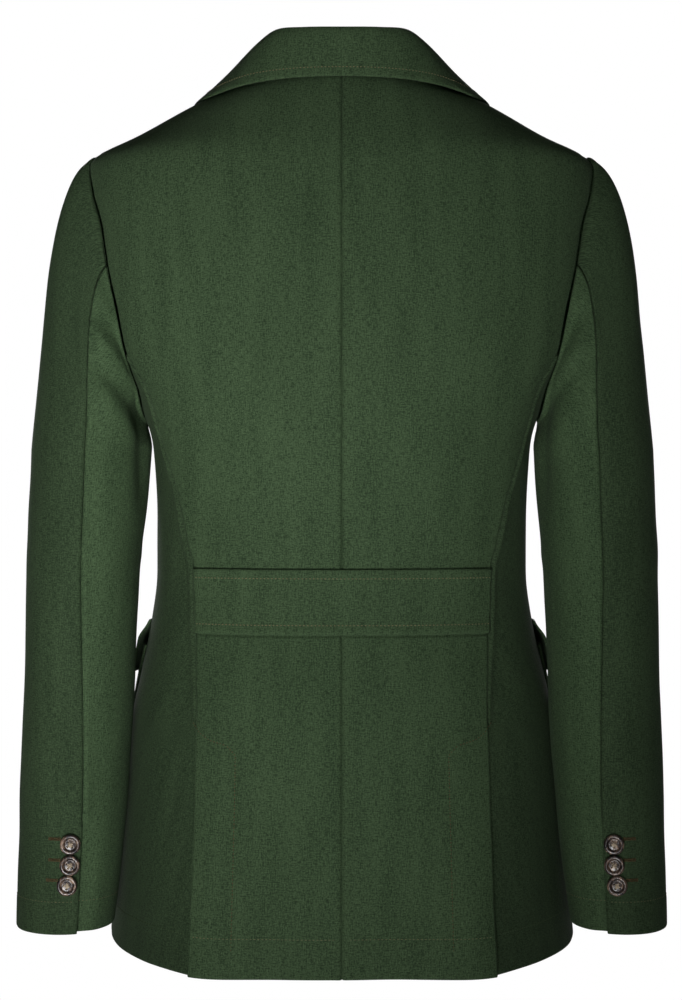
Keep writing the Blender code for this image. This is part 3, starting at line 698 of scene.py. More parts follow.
def side_top():
    """The armhole's lower edge, as heights against the share of the way across the side body."""
    points = armhole_point(np.linspace(0, 2 * math.pi, 900))
    heights = points[:, 2]
    turn = np.arctan2(points[:, 0], points[:, 1] - body_at(heights)[1])
    back = side_back_seam(np.minimum(heights, BACK_SEAM_TOP))
    front = side_front_seam(np.minimum(heights, FRONT_SEAM_TOP))
    share = (turn - back) / (front - back)
    low = (heights <= BACK_SEAM_TOP) & (share > -0.01) & (share < 1.01)
    low &= (heights <= FRONT_SEAM_TOP) | (turn < math.pi / 2)
    order = np.argsort(share[low])
    return share[low][order], heights[low][order]


SIDE_TOP = side_top()


def side_place(across, down, side):
    nominal = BACK_SEAM_TOP + down * (HEM - BACK_SEAM_TOP)
    top = np.interp(across, *SIDE_TOP)
    fan = (nominal - SIDE_FAN_END) / (BACK_SEAM_TOP - SIDE_FAN_END)
    height = np.where(nominal > SIDE_FAN_END, SIDE_FAN_END + fan * (top - SIDE_FAN_END), nominal)
    back, front = side_back_seam(height), side_front_seam(height)
    radius = smooth_body_point(back, height)[..., 0]
    in_vent = np.clip((VENT_TOP - height) / VENT_SLOPE, 0, 1)
    first = back + gap_turn(back, height) - VENT_UNDERLAP * in_vent / radius
    turn = first + across * (front - gap_turn(front, height) - first)
    sink = vent_sink(height) * (1 - ease(((turn - back) * radius - 4) / VENT_SINK_WIDTH))
    return on_body(side, turn, height, -sink)


def side_relief(left, right, top, bottom):
    at_vent = ease((VENT_LENGTH + 3 - bottom) / FADE)
    back = seamed(left, bottom, 31, 1.3, 3.0, 1.3) * (1 - at_vent)
    front = seamed(right, bottom, 34, 0.2)
    return back + front + hemmed(bottom, left, HEM_DEPTH, 37) + seamed(top, left, 39, 0.1)


SIDE_WIDTH = 190
SIDE_LENGTH = 445
for side, name in SIDES:
    columns, rows = spaced(SIDE_WIDTH, BODY_STEP_ACROSS), spaced(SIDE_LENGTH, BODY_STEP_DOWN)
    # The side panels wear the darkened copy of the linen, as painted shade.
    panel = lay_cloth(f"side_{name}", side_place, columns, rows, side_relief, side, grain=1, cloth=SHADED_SIDE_LINEN)
    start = FRONT_SEAM_TOP - 12
    allowance = pressed_open(f"side_front_allowance_{name}", side_front_seam, start, HEM + 1.5, side)


# ------------------------------------------------------------
# Half belt: a double band of the same linen over the back waist. Its ends are caught in the side-back
# seams, and a row of olive stitches runs along each edge.
# ------------------------------------------------------------
BELT_OFF_BACK = 2.0
BELT_WIDTH = 226
BELT_ROW = 6.7


def belt_place(across, down, side):
    height = BELT_TOP + down * (BELT_BOTTOM - BELT_TOP)
    edge = back_edge(height)
    turn = (2 * across - 1) * (edge - gap_turn(edge, height))
    slack = 0.5 * ripple(across * 225, height, 38, 51) * np.sin(math.pi * down)
    return over_body(turn, height, BELT_OFF_BACK + slack)


def belt_relief(left, right, top, bottom):
    ends = -0.9 * bell(left, 1.0) - 0.9 * bell(right, 1.0)
    return ends + hemmed(top, left, BELT_ROW, 53) + hemmed(bottom, left, BELT_ROW, 55)


belt = lay_cloth("half_belt", belt_place, spaced(BELT_WIDTH, 2.4), spaced(48, 2.2), belt_relief, wall=1.6)
share = np.linspace(0.004, 0.996, 160)
row = BELT_ROW / (BELT_TOP - BELT_BOTTOM)
runs = [run_on(belt_place, share, row), run_on(belt_place, share, 1 - row)]
belt_stitches = topstitch("half_belt_stitches", runs, THREAD_OLIVE)


# ------------------------------------------------------------
# Vents and back hem: the vent's facing is tacked with a slanting row of brown stitches and held by an
# upright one, and the hem is turned up and stitched with olive thread on the back, green on the sides.
# ------------------------------------------------------------
VENT_STITCHES = ((108.5, -462), (103, -469.5), (96, -474), (83, -477.5), (76.5, -484), (77, -520), (79, -622))
HEM_STITCH = -612


def on_back(x, height, side):
    x, height = np.asarray(x, float), np.asarray(height, float)
    turn = body_turn(x, height)
    point = on_body(side, turn, height, vent_lift(height, turn / back_edge(height)))
    return point, body_normal(side * turn, height) * (side, 1, 1)


def dense(stops, count):
    """A polyline through these places, evenly filled in."""
    stops = np.array(stops, float)
    run = measured(stops)
    return value_at(np.linspace(0, run[-1], count), run, stops)


for side, name in SIDES:
    tack, facing = dense(VENT_STITCHES[:4], 30), dense(VENT_STITCHES[3:], 90)
    runs = [on_back(*tack, side), on_back(*facing, side)]
    topstitch(f"vent_stitches_{name}", runs, THREAD_BROWN, pitch=2.6, thick=0.34, side=side)
    hem_x = np.linspace(2, 107, 60)
    run = on_back(hem_x, HEM_STITCH + 0 * hem_x, side)
    topstitch(f"back_hem_stitches_{name}", [run], THREAD_OLIVE, thick=0.26, side=side)
    share = np.linspace(0.2, 0.99, 90)
    run = run_on(side_place, share, (HEM_STITCH - BACK_SEAM_TOP) / (HEM - BACK_SEAM_TOP), side)
    topstitch(f"side_hem_stitches_{name}", [run], side=side)


# ------------------------------------------------------------
# Fronts: each runs from the shoulder to the hem, with a roll line from the neck to the break and a
# straight edge below it. The right front laps over the left one and is stitched along its edge.
# ------------------------------------------------------------
ROLL_TOP = (15, 66)
BREAK = (-232, -19)
LAP_SINK = 2.6
LAP_FULL = 24
LAP_START = 52


def front_side_edge(height):
    lower = np.where(height < FRONT_SEAM_TOP, side_front_seam(height), armhole_turn(height, front=True))
    return np.where(height > ARMHOLE_TOP, math.pi / 2, lower)


def roll_x(height):
    """How far from the centre line a front ends: on the roll line, then on the straight front edge."""
    line = ROLL_TOP[1] + (ROLL_TOP[1] - BREAK[1]) / (ROLL_TOP[0] - BREAK[0]) * (height - ROLL_TOP[0])
    neck = np.interp(height, (ROLL_TOP[0], NECK_SIDE), (ROLL_TOP[1], 61))
    return np.where(height > ROLL_TOP[0], neck, np.maximum(line, BREAK[1]))


def front_place(across, down, side):
    height = shoulder_and_down(NECK_SIDE - 0.5, down)
    edge = front_side_edge(height)
    first = edge + gap_turn(edge, height)
    turn = first + across * (body_turn(roll_x(height), height, front=True) - first)
    x = smooth_body_point(turn, height)[..., 0]
    sunk = LAP_SINK * ease((LAP_START - x) / (LAP_START - LAP_FULL)) * ease((-120 - height) / 50)
    return on_body(side, turn, height, -sunk if side > 0 else 0.0)


def front_relief(left, right, top, bottom):
    edges = seamed(left, bottom, 63, 0.25) + folded_edge(right, bottom, 61)
    return edges + hemmed(bottom, left, HEM_DEPTH, 65) + seamed(top, left, 67, 0.1)


FRONT_WIDTH = 180
EDGE_ROW = 6.5
EDGE_ROW_TOP = -240
for side, name in SIDES:
    columns, rows = spaced(FRONT_WIDTH, BODY_STEP_ACROSS), spaced(BODY_LENGTH, BODY_STEP_DOWN)
    front = lay_cloth(f"front_{name}", front_place, columns, rows, front_relief, side, grain=1)
    runs = [run_on(front_place, np.linspace(0.01, 0.985, 100), share_down(HEM_STITCH), side)]
    down = np.linspace(share_down(EDGE_ROW_TOP), 0.998, 200)
    runs.append(run_on(front_place, 1 - EDGE_ROW / np.interp(down, (0.35, 1), (150, 170)), down, side))
    stitches = topstitch(f"front_stitches_{name}", runs, side=side)


# ------------------------------------------------------------
# Lapels: the part of each front that folds back on the roll line and lies on the chest, stitched along
# its outer edge and its top. The left one runs to a point beside the right front, which laps over it.
# ------------------------------------------------------------
LAPEL_POINT = (-62, 108)
LAPEL_EDGE = ((-229, -12), (-200, 26), (-170, 51), (-130, 78), (-90, 99), (-62, 108))
GORGE = (-33, 50)


def lapel_place_to(end, lapped):
    """The lapel down to this height, and no nearer than this to the other front's roll line."""

    def place(across, down, side):
        roll_height = GORGE[0] + down * (end - GORGE[0])
        edge_height = LAPEL_POINT[0] + down * (end + 3 - LAPEL_POINT[0])
        roll = np.maximum(roll_x(roll_height) + 1, lapped - roll_x(roll_height))
        edge = np.maximum(through(*zip(*LAPEL_EDGE), edge_height), roll + 3)
        x = roll + across * (edge - roll)
        height = roll_height + across * (edge_height - roll_height)
        offset = 2.0 + 2.2 * np.sin(math.pi * np.clip(across, 0, 1)) ** 0.8
        return on_body(side, body_turn(x, height, front=True), height, offset)

    return place


def lapel_relief(left, right, top, bottom):
    ends = folded_edge(top, left, 73) + folded_edge(bottom, left, 75)
    return hemmed(right, bottom, EDGE_ROW, 71) * 0.8 - 0.9 * bell(left, 1.6) + ends


LAPPED_GAP = 3.5
NOT_LAPPED = -100
LAPELS = ((1, "left", -212, LAPPED_GAP, 0.0098), (-1, "right", -226, NOT_LAPPED, 0.0108))
for side, name, end, lapped, area in LAPELS:
    place = lapel_place_to(end, lapped)
    columns, rows = spaced(60, 2.6), spaced(end / -1.1, 2.8)
    lapel = lay_cloth(f"lapel_{name}", place, columns, rows, lapel_relief, side, outwards=-1)
    down = np.linspace(0.03, 0.9, 120)
    width = through([0, 0.5, 1], [75, 45, 12], down)
    share = np.linspace(0.08, 0.92, 30)
    runs = [run_on(place, 1 - EDGE_ROW / width, down, side, -1),
            run_on(place, share, EDGE_ROW / 160, side, -1)]
    stitches = topstitch(f"lapel_stitches_{name}", runs, side=side)


# ------------------------------------------------------------
# Collar: stand and fall in one. It rises from the neck seam, rolls over and falls to its outer edge,
# which is stitched all along, and ends in a notch above each lapel.
# ------------------------------------------------------------
# From the centre back to the front end: neck seam, roll and outer edge as x, y, z, and the notch's drop.
COLLAR = (
    (0, 68.5, 19, 0, 73.5, 47, 0, 78, 10, 0),
    (26, 65, 19.5, 27.5, 70.5, 47.5, 38.5, 76, 9, 0),
    (46, 54, 21, 48.2, 59.5, 48.2, 71.5, 65, 6.5, 0),
    (57, 37, 25, 60.5, 40, 42.8, 96.5, 45, 3, 0),
    (63, 16, 27, 67.5, 14, 34, 111, 18, 2, 0),
    (66, -8, 24, 70, -12, 23, 113, -10, -1.5, 0),
    (66, -30, 10, 67, -36, 8, 112, -38, -8, 0),
    (60, -56, -14, 59, -62, -14, 108, -54, -18, 4),
    (53, -69, -32, 51, -73, -33, 103, -61, -29, 17),
)
COLLAR_STOPS = (0, 0.22, 0.4, 0.55, 0.78, 1)
COLLAR_CLEAR = (1.6, 2.0, 3.6, 5.2, 3.2, 1.8)
COLLAR_ON_CHEST = 5
COLLAR_WIDTH = 92
COLLAR_ROW = 7.6


def collar_rows(station):
    table = np.array(COLLAR, float)
    mirrored = table[1] * (-1, 1, 1, -1, 1, 1, -1, 1, 1, 1)
    table = np.vstack([mirrored, table, 2 * table[-1] - table[-2]])
    low = np.clip(station.astype(int), 0, len(COLLAR) - 2)
    t = (station - low)[:, None]
    before, here, after, later = (table[low + i] for i in range(4))
    bend = 2 * before - 5 * here + 4 * after - later + t * (3 * (here - after) + later - before)
    return here + 0.5 * t * (after - before + t * bend)


def push_out(point, least, on_form):
    """Moves points that lie too near the worn cloth off it, and lays those on the chest on it."""
    height = point[:, 2]
    turn = np.arctan2(point[:, 0], point[:, 1] - body_at(height)[1])
    normal = body_normal(turn, height)
    distance = np.sum((point - over_body(turn, height)) * normal, axis=1)
    short = np.maximum(least - distance, 0) * ease((NECK_SIDE - height) / 3)
    free = point + normal * short[:, None]
    laid = over_body(np.sign(point[:, 0]) * body_turn(np.abs(point[:, 0]), height, front=True), height, least)
    return free + on_form[:, None] * (laid - free)


def collar_place(across, down, side):
    station = np.abs(2 * across - 1) * (len(COLLAR) - 1)
    row = collar_rows(station)
    neck, roll, edge, notch = row[:, :3], row[:, 3:6], row[:, 6:9], row[:, 9]
    out = (edge - roll) * (1, 1, 0)
    out /= np.linalg.norm(out, axis=1, keepdims=True)
    up = np.array((0.0, 0.0, 1.0))
    stand = neck + 0.7 * (roll - neck) - 1.2 * out
    fall = roll + 0.14 * (edge - roll) + 1.8 * out + 1.0 * up
    middle = roll + 0.55 * (edge - roll) + 1.2 * out + (0.8 - notch[:, None]) * up
    stops = np.stack([neck, stand, roll, fall, middle, edge], axis=-1)
    point = np.stack([through(COLLAR_STOPS, stops[:, axis], down) for axis in range(3)], axis=-1)
    point[:, 0] *= np.where(across < 0.5, -1, 1)
    waves = 0.5 * ripple(across * 520, down * 60, 55, 81) * ease((down - 0.45) / 0.4)
    least = through(COLLAR_STOPS, COLLAR_CLEAR, down) + waves
    return push_out(point, least, ease(station - COLLAR_ON_CHEST))


def collar_relief(left, right, top, bottom):
    ends = folded_edge(left, bottom, 83) + folded_edge(right, bottom, 85)
    return ends + hemmed(bottom, left, COLLAR_ROW, 87) * 0.9 - 0.4 * bell(top, 1.5)


collar = lay_cloth("collar", collar_place, spaced(500, 3.2), spaced(COLLAR_WIDTH, 2.6), collar_relief)
run = run_on(collar_place, np.linspace(0.012, 0.988, 400), 1 - COLLAR_ROW / COLLAR_WIDTH)
collar_stitches = topstitch("collar_stitches", [run], THREAD_OLIVE, pitch=2.6, thick=0.42)


# ------------------------------------------------------------
# Sleeves: a top and an under sleeve, set into the armhole with a little fullness over the shoulder.
# The back seam ends in a cuff vent, where the top sleeve laps over the under one.
# ------------------------------------------------------------
# Level sections of the arm: height, centre x and y, half width and depth, back and front seam in
# degrees.
ARM = (
    (-262, 192, 5, 45.3, 56, 92, 238),
    (-300, 193.5, 10, 45, 54, 93, 239),
    (-346, 196.3, 15, 43.2, 52, 95, 240),
    (-391, 197.6, 20, 42.6, 50, 98, 241),
    (-451, 198.9, 24, 41.8, 48, 102, 242),
    (-512, 201.7, 29.5, 40.7, 46, 107, 243),
    (-572, 205.2, 31, 38.5, 44, 110, 244),
    (-619, 208.2, 32, 36, 43, 112, 245),
)
ARM_TOP = -262
CUFF = -619
CUFF_DEPTH = 24
ARM_RADIUS = 44
BACK_SEAM_AT_ARMHOLE = 82
FRONT_SEAM_AT_ARMHOLE = 231
UNDERARM_GAP = 0.7
CUFF_VENT_TOP = -540
HEAD_SHARE = 0.41
ARM_CURVES = softened(ARM, 8)

# Folds of the sleeves: turn round the arm in degrees and height, from and to, spread and rise.
SLEEVE_FOLDS = (
    (92, -146, 136, -184, 6, 3.0),
    (90, -160, 138, -199, 5, -2.6),
    (94, -178, 146, -222, 7, 2.6),
    (97, -196, 150, -236, 6, -2.0),
    (100, -222, 150, -262, 9, 1.6),
    (152, -214, 160, -300, 10, -4.0),
    (60, -60, 72, -130, 8, 0.7),
    (196, -190, 236, -170, 7, 1.2),
    (200, -210, 240, -196, 6, -1.0),
    (-100, -120, -70, -170, 8, 0.8),
    (-118, -330, -60, -352, 9, 1.1),
    (-118, -352, -70, -366, 7, -1.0),
    (190, -340, 240, -352, 8, 1.1),
    (196, -360, 240, -366, 7, -0.9),
    (110, -392, 160, -370, 11, 0.8),
    (-10, -330, 40, -356, 14, 0.6),
    (100, -500, 120, -560, 9, 0.6),
)


def arm_at(height):
    return [np.interp(height, ARM_CURVES[0], curve) for curve in ARM_CURVES[1]]


def arm_point(around, height):
    centre_x, centre_y, half_width, half_depth, _, _ = arm_at(height)
    x = centre_x + half_width * np.cos(around)
    return np.stack([x, centre_y + half_depth * np.sin(around), height + 0 * around], axis=-1)


def sleeve_head(around, share):
    """From the armhole to the top of the arm: out over the shoulder, straight down at the underarm."""
    start = armhole_point(around)
    end = arm_point(around, ARM_TOP + 0 * around)
    drop = (start[..., 2] - end[..., 2])[..., None]
    low = ((1 - np.cos(around)) / 2)[..., None]
    back = np.sin(around)[..., None]
    outwards = 0.48 * (1 - low**2) + 0.04 * low
    downwards = 0.04 + 0.67 * low + 0.29 * low**2
    backwards = back * (0.14 + 0.28 * ease((np.cos(np.radians(70)) - np.cos(around)[..., None]) / 0.7))
    backwards = np.where(back > 0, backwards, 0.42 * back)
    leave = np.concatenate([outwards, backwards, -downwards], axis=-1) * drop
    start = start + leave / np.linalg.norm(leave, axis=-1, keepdims=True) * SEAM_GAP * (1.6 - 0.6 * low)
    start = start + low**2 * UNDERARM_GAP * np.array([1.0, 0.0, 0.0])
    arrive = np.array([0.09, 0.1, -1.0]) * drop
    return between(share[..., None], start, end, leave, arrive)


def sleeve_drape(around, height, side):
    x, y = 60 * np.cos(around) + 300 * side, 60 * np.sin(around)
    lift = 0.8 * ripple(x + height * 0.3, y, 60, 91) + 0.8 * ripple(height, x + y, 75, 92)
    lift = lift + 0.4 * ripple(height, x - y, 30, 93)
    near = around * ARM_RADIUS
    for turn0, z0, turn1, z1, width, rise in SLEEVE_FOLDS:
        shift = 4 * math.sin(turn0 + 2 * side)
        start, end = math.radians(turn0) * ARM_RADIUS, math.radians(turn1) * ARM_RADIUS
        rise = rise * (1 + 0.15 * side * math.cos(turn0))
        lift = lift + folded(near, height, ((start, z0 + shift, end, z1 + shift, width, rise),))
    return lift


def sleeve_place_between(first_seam, last_seam, hem_lift=0.0, underlap=0.0):
    """A sleeve between two seams, each its angle at the armhole, its column of the arm table and a turn."""

    def seam(which, head, height):
        at_armhole, column, turn = which
        return np.radians(turn + at_armhole + ease(head) * (arm_at(height)[column - 1] - at_armhole))

    def place(across, down, side):
        head = np.clip(down / HEAD_SHARE, 0, 1)
        height = ARM_TOP + np.clip((down - HEAD_SHARE) / (1 - HEAD_SHARE), 0, 1) * (CUFF - ARM_TOP)
        height = height + hem_lift * np.clip((CUFF + 20 - height) / 20, 0, 1)
        gap = SEAM_GAP / 2 / ARM_RADIUS
        in_vent = ease((CUFF_VENT_TOP - height) / 8)
        first = seam(first_seam, head, height) + gap - underlap / ARM_RADIUS * in_vent
        around = first + across * (seam(last_seam, head, height) - gap - first)
        point = np.where((head < 1)[..., None], sleeve_head(around, head), arm_point(around, height))
        past_seam = (around - seam(first_seam, head, height)) * ARM_RADIUS
        sink = VENT_SINK * (1 - ease((past_seam - 2) / 16)) * ease((CUFF_VENT_TOP + 10 - height) / 10)
        lift = sleeve_drape(around, point[..., 2], side) * ease(down / 0.06) - (sink if underlap else 0)
        away = np.stack([np.cos(around), np.sin(around), 0 * around], axis=-1)
        return point + lift[..., None] * away

    return place


top_place = sleeve_place_between((FRONT_SEAM_AT_ARMHOLE, 6, -360), (BACK_SEAM_AT_ARMHOLE, 5, 0))
under_place = sleeve_place_between((BACK_SEAM_AT_ARMHOLE, 5, 0), (FRONT_SEAM_AT_ARMHOLE, 6, 0), 1.2, 10.0)


def set_in(away, along, seed):
    """The sleeve head rises in a soft roll beside the armhole seam, with the fullness eased into it."""
    eased = 0.35 * ripple(along, 0 * along, 9, seed) + 0.3 * ripple(along, 0 * along, 17, seed + 1)
    eased = eased * (1 - np.exp(-away / 2)) * np.exp(-away / 10)
    return 1.1 * bell(away - 2.6, 2.2) - 0.7 * bell(away, 0.8) + eased


def at_cuff_vent(bottom):
    return ease((CUFF_VENT_TOP - CUFF + 3 - bottom) / 8)


def top_sleeve_relief(left, right, top, bottom):
    back = seamed(right, bottom, 101, 0.2, sunk=1.1) * (1 - at_cuff_vent(bottom))
    back = back + folded_edge(right, bottom, 103) * at_cuff_vent(bottom) + seamed(left, bottom, 105, 0.2)
    return back + hemmed(bottom, left, CUFF_DEPTH, 107) + set_in(top, left, 109)


def under_sleeve_relief(left, right, top, bottom):
    back = seamed(left, bottom, 101, 0.8, 3.0, 1.1) * (1 - at_cuff_vent(bottom))
    back = back + seamed(right, bottom, 105, 0.2)
    return back + hemmed(bottom, left, CUFF_DEPTH, 113) + set_in(top, left, 115)


SLEEVE_STEP = 3.0
SLEEVE_LENGTH = 600
TOP_SLEEVE_CUT = {"flat": (0.25, 0.60), "area": 0.096}
UNDER_SLEEVE_CUT = {"flat": (0.15, 0.50), "area": 0.049}
CUFF_ROW = HEAD_SHARE + (1 - HEAD_SHARE) * (CUFF + CUFF_DEPTH - ARM_TOP) / (CUFF - ARM_TOP)
for side, name in SIDES:
    # The top sleeves wear a copy of the linen darkened as painted shade, the under sleeves one brightened as
    # painted light.
    for part, place, wide, cut, relief, cloth, grain in (
        ("top", top_place, 175, TOP_SLEEVE_CUT, top_sleeve_relief, SHADED_TOP_SLEEVE_LINEN, 0.5),
        ("under", under_place, 105, UNDER_SLEEVE_CUT, under_sleeve_relief, LIT_UNDER_SLEEVE_LINEN, 1),
    ):
        columns, rows = spaced(wide, SLEEVE_STEP), spaced(SLEEVE_LENGTH, SLEEVE_STEP)
        sleeve = lay_cloth(f"sleeve_{part}_{name}", place, columns, rows, relief, side, -1, grain=grain,
                           cloth=cloth)
        run = run_on(place, np.linspace(0.02, 0.98, 90), CUFF_ROW, side, -1)
        stitches = topstitch(f"cuff_stitches_{part}_{name}", [run], THREAD_OLIVE, thick=0.26, side=side)


# ------------------------------------------------------------
# Patch pockets: a bag sewn on along its sides and bottom, and over its mouth a flap that hangs free.
# The hip ones reach round the side of the jacket, the chest ones lie on the fronts.
# ------------------------------------------------------------
# Distance of the front edge from the centre line, width, and the heights of the bag and the flap.
POCKETS = (
    ("hip", 46, 168, (-413, -585), (-393, -436)),
    ("chest", 84, 84, (-146, -228), (-127, -160)),
)
REST = 2.2
POCKET_STEP = 3.0
POCKET_ROW = 5.5
BAG_MOUTH_ROW = 22
FLAP_TOP_ROW = 4


def arc_turn(start, height, length, way=1):
    """The turn reached by going this far round the body, towards the front or, for way -1, back."""
    steps = np.linspace(0, 2.4, 90)
    reached = np.empty_like(height)
    for level in np.unique(height):
        here = height == level
        ring = smooth_body_point(start[here][0] + way * steps, np.full(len(steps), level))
        reached[here] = start[here][0] + way * np.interp(length[here], measured(ring), steps)
    return reached


def patch_place(edge_x, width, top, bottom, profile):
    """A rectangle along the body, measured from its straight front edge, lifted by a profile."""

    def place(across, down, side):
        height = top + down * (bottom - top)
        front = body_turn(edge_x + 0 * height, height, front=True)
        start = arc_turn(front, height, width + 0 * height, way=-1)
        turn = arc_turn(start, height, across * width)
        return on_body(side, turn, height, profile(across, down))

    return place


def bag_profile(across, down):
    side = ease(np.minimum(across, 1 - across) / 0.09)
    foot = ease((1 - down) / 0.1)
    return REST + 2.7 * side * foot


def flap_profile(across, down):
    return REST + 5.8 * ease(down / 0.4) - 0.2 * ease((down - 0.5) / 0.5)


def three_rows(left, right, bottom, seed):
    """The sides and the foot of a bag or a flap, turned in and stitched."""
    sides = hemmed(left, bottom, POCKET_ROW, seed) + hemmed(right, bottom, POCKET_ROW, seed + 2)
    return sides + hemmed(bottom, left, POCKET_ROW, seed + 4)


def bag_relief(left, right, top, bottom):
    mouth = hemmed(top, left, BAG_MOUTH_ROW, 127)
    return three_rows(left, right, bottom, 121) + mouth + 0.5 * ripple(left, bottom, 45, 129)


def flap_relief(left, right, top, bottom):
    return three_rows(left, right, bottom, 131) - 0.5 * bell(top, 1.2) + 0.4 * ripple(left, bottom, 40, 137)


for where, edge_x, width, bag_span, flap_span in POCKETS:
    for side, name in SIDES:
        for part, span, profile, relief, top_row in (
            ("pocket", bag_span, bag_profile, bag_relief, BAG_MOUTH_ROW),
            ("flap", flap_span, flap_profile, flap_relief, FLAP_TOP_ROW),
        ):
            place = patch_place(edge_x, width, *span, profile)
            tall = span[0] - span[1]
            columns, rows = spaced(width, POCKET_STEP), spaced(tall, POCKET_STEP)
            piece = lay_cloth(f"{where}_{part}_{name}", place, columns, rows, relief, side)
            in_side, in_foot = POCKET_ROW / width, POCKET_ROW / tall
            down = np.linspace(0.02, 1 - in_foot, 60)
            share = np.linspace(in_side, 1 - in_side, 60)
            runs = [run_on(place, in_side, down, side), run_on(place, 1 - in_side, down, side),
                    run_on(place, share, 1 - in_foot, side)]
            if where == "hip" or part == "flap":
                runs.append(run_on(place, share, top_row / tall, side))
            stitches = topstitch(f"{where}_{part}_stitches_{name}", runs, side=side)


# ------------------------------------------------------------
# Buttons: turned from mottled horn, with a raised rim, a dished middle and four holes, sewn on with
# a crossed thread. Three kiss beside each cuff vent, and three larger ones close the front.
# ------------------------------------------------------------
CUFF_BUTTON_HEIGHTS = (-552.6, -568, -582.8)
CUFF_BUTTON_ANGLES = (97, 98, 96.5)
CUFF_BUTTON_RADIUS = 7.5
FRONT_BUTTON_HEIGHTS = (-243, -332, -421)
FRONT_BUTTON_RADIUS = 10
CUFF_HOLE_OVER_BUTTON = 3.9
# Where the buttonholes begin and end: degrees short of a cuff button, and radians round from a front one.
CUFF_HOLE = (10.5, 23.5)
FRONT_HOLE = (0.09, -0.025)
# Distance from the axis and height, as shares of the radius.
BUTTON_PROFILE = (
    (0, 0), (0.74, 0), (0.9, 0.05), (0.985, 0.14), (1, 0.23), (0.975, 0.3), (0.92, 0.36), (0.83, 0.395),
    (0.72, 0.39), (0.64, 0.34), (0.59, 0.25), (0.54, 0.2), (0.46, 0.215), (0.3, 0.24), (0, 0.24),
)
HOLE_FROM_AXIS = 0.23
HOLE_RADIUS = 0.1
HORN_TONES = (
    (0, (0, 0, 0)), (0.38, (0.01, 0.007, 0.009)), (0.52, (0.06, 0.038, 0.03)), (0.68, (0.34, 0.23, 0.16)),
)


def horn():
    gloss = {"Roughness": 0.32, "Coat Weight": 0.3, "Coat Roughness": 0.15}
    material, nodes, links, shader = new_material("mottled horn", gloss)
    place = nodes.new("ShaderNodeTexCoord")
    stretch = nodes.new("ShaderNodeMapping")
    stretch.inputs["Scale"].default_value = (1, 1, 0.45)
    stretch.inputs["Rotation"].default_value = (0.3, 0.5, 0.2)
    links.new(place.outputs["Object"], stretch.inputs["Vector"])
    noise = nodes.new("ShaderNodeTexNoise")
    noise.inputs["Scale"].default_value = 330
    noise.inputs["Detail"].default_value = 4
    noise.inputs["Distortion"].default_value = 1.2
    links.new(stretch.outputs[0], noise.inputs["Vector"])
    toned(nodes, links, shader, noise.outputs["Fac"], HORN_TONES)
    return material


def turned_button(radius):
    """One button at the origin, facing +Z, with its four holes cut."""
    turned = bmesh.new()
    verts = [turned.verts.new((r * radius * MM, 0, h * radius * MM)) for r, h in BUTTON_PROFILE]
    edges = [turned.edges.new(pair) for pair in zip(verts, verts[1:])]
    bmesh.ops.spin(turned, geom=verts + edges, cent=(0, 0, 0), axis=(0, 0, 1), angle=2 * math.pi, steps=48,
                   use_merge=True)
    bmesh.ops.remove_doubles(turned, verts=turned.verts, dist=1e-7)
    bmesh.ops.recalc_face_normals(turned, faces=turned.faces)
    blank = placed("button blank", meshed("turned button", turned))
    drills = bmesh.new()
    for quarter in range(4):
        turn = math.pi / 4 + quarter * math.pi / 2
        spot = Vector((math.cos(turn), math.sin(turn), 0)) * HOLE_FROM_AXIS * radius * MM
        bore = HOLE_RADIUS * radius * MM
        bmesh.ops.create_cone(drills, cap_ends=True, segments=16, radius1=bore, radius2=bore,
                              depth=radius * MM, matrix=Matrix.Translation(spot))
    drill = placed("button drill", meshed("drills", drills))
    cut = blank.modifiers.new("holes", "BOOLEAN")
    cut.operation, cut.solver, cut.object = "DIFFERENCE", "EXACT", drill
    drilled = bpy.data.meshes.new_from_object(blank.evaluated_get(bpy.context.evaluated_depsgraph_get()))
    bpy.data.objects.remove(blank)
    bpy.data.objects.remove(drill)
    return drilled


HORN = horn()
THREAD_CREAM = linen("cream thread", (0.34, 0.26, 0.18), (0.62, 0.52, 0.4), relief=0.0)


def sew_button(name, blank, radius, seat, normal, spin):
    """Places a button on the cloth, with its crossed thread through the four holes."""
    upright = Vector(normal).to_track_quat("Z", "Y").to_matrix().to_4x4()
    stand = Matrix.Translation(Vector(seat) * MM) @ upright @ Matrix.Rotation(spin, 4, "Z")
    mesh = blank.copy()
    mesh.transform(stand)
    mesh.name = f"{name}_horn"
    mesh.shade_smooth()
    mesh.materials.clear()
    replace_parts(riding(mesh.name, mesh, HORN), name)
    thread = bmesh.new()
    unit = radius * MM
    size = Matrix.Diagonal((0.33 * unit, 0.07 * unit, 0.07 * unit, 1))
    for turn, height in ((math.pi / 4, 0.27), (-math.pi / 4, 0.31)):
        for aside in (-0.06, 0.06):
            strand = Matrix.Rotation(turn, 4, "Z") @ Matrix.Translation((0, aside * unit, height * unit))
            bmesh.ops.create_uvsphere(thread, u_segments=8, v_segments=8, radius=1,
                                      matrix=stand @ strand @ size @ LIE_DOWN)
    sewn(f"{name}_thread", thread, THREAD_CREAM)


LIP_STITCH = (0.6, 0.25, 0.32)
BAR_STITCH = (1.3, 0.4, 0.42)
LIP_FROM_SLIT = 0.62
LIP_PITCH = 0.46


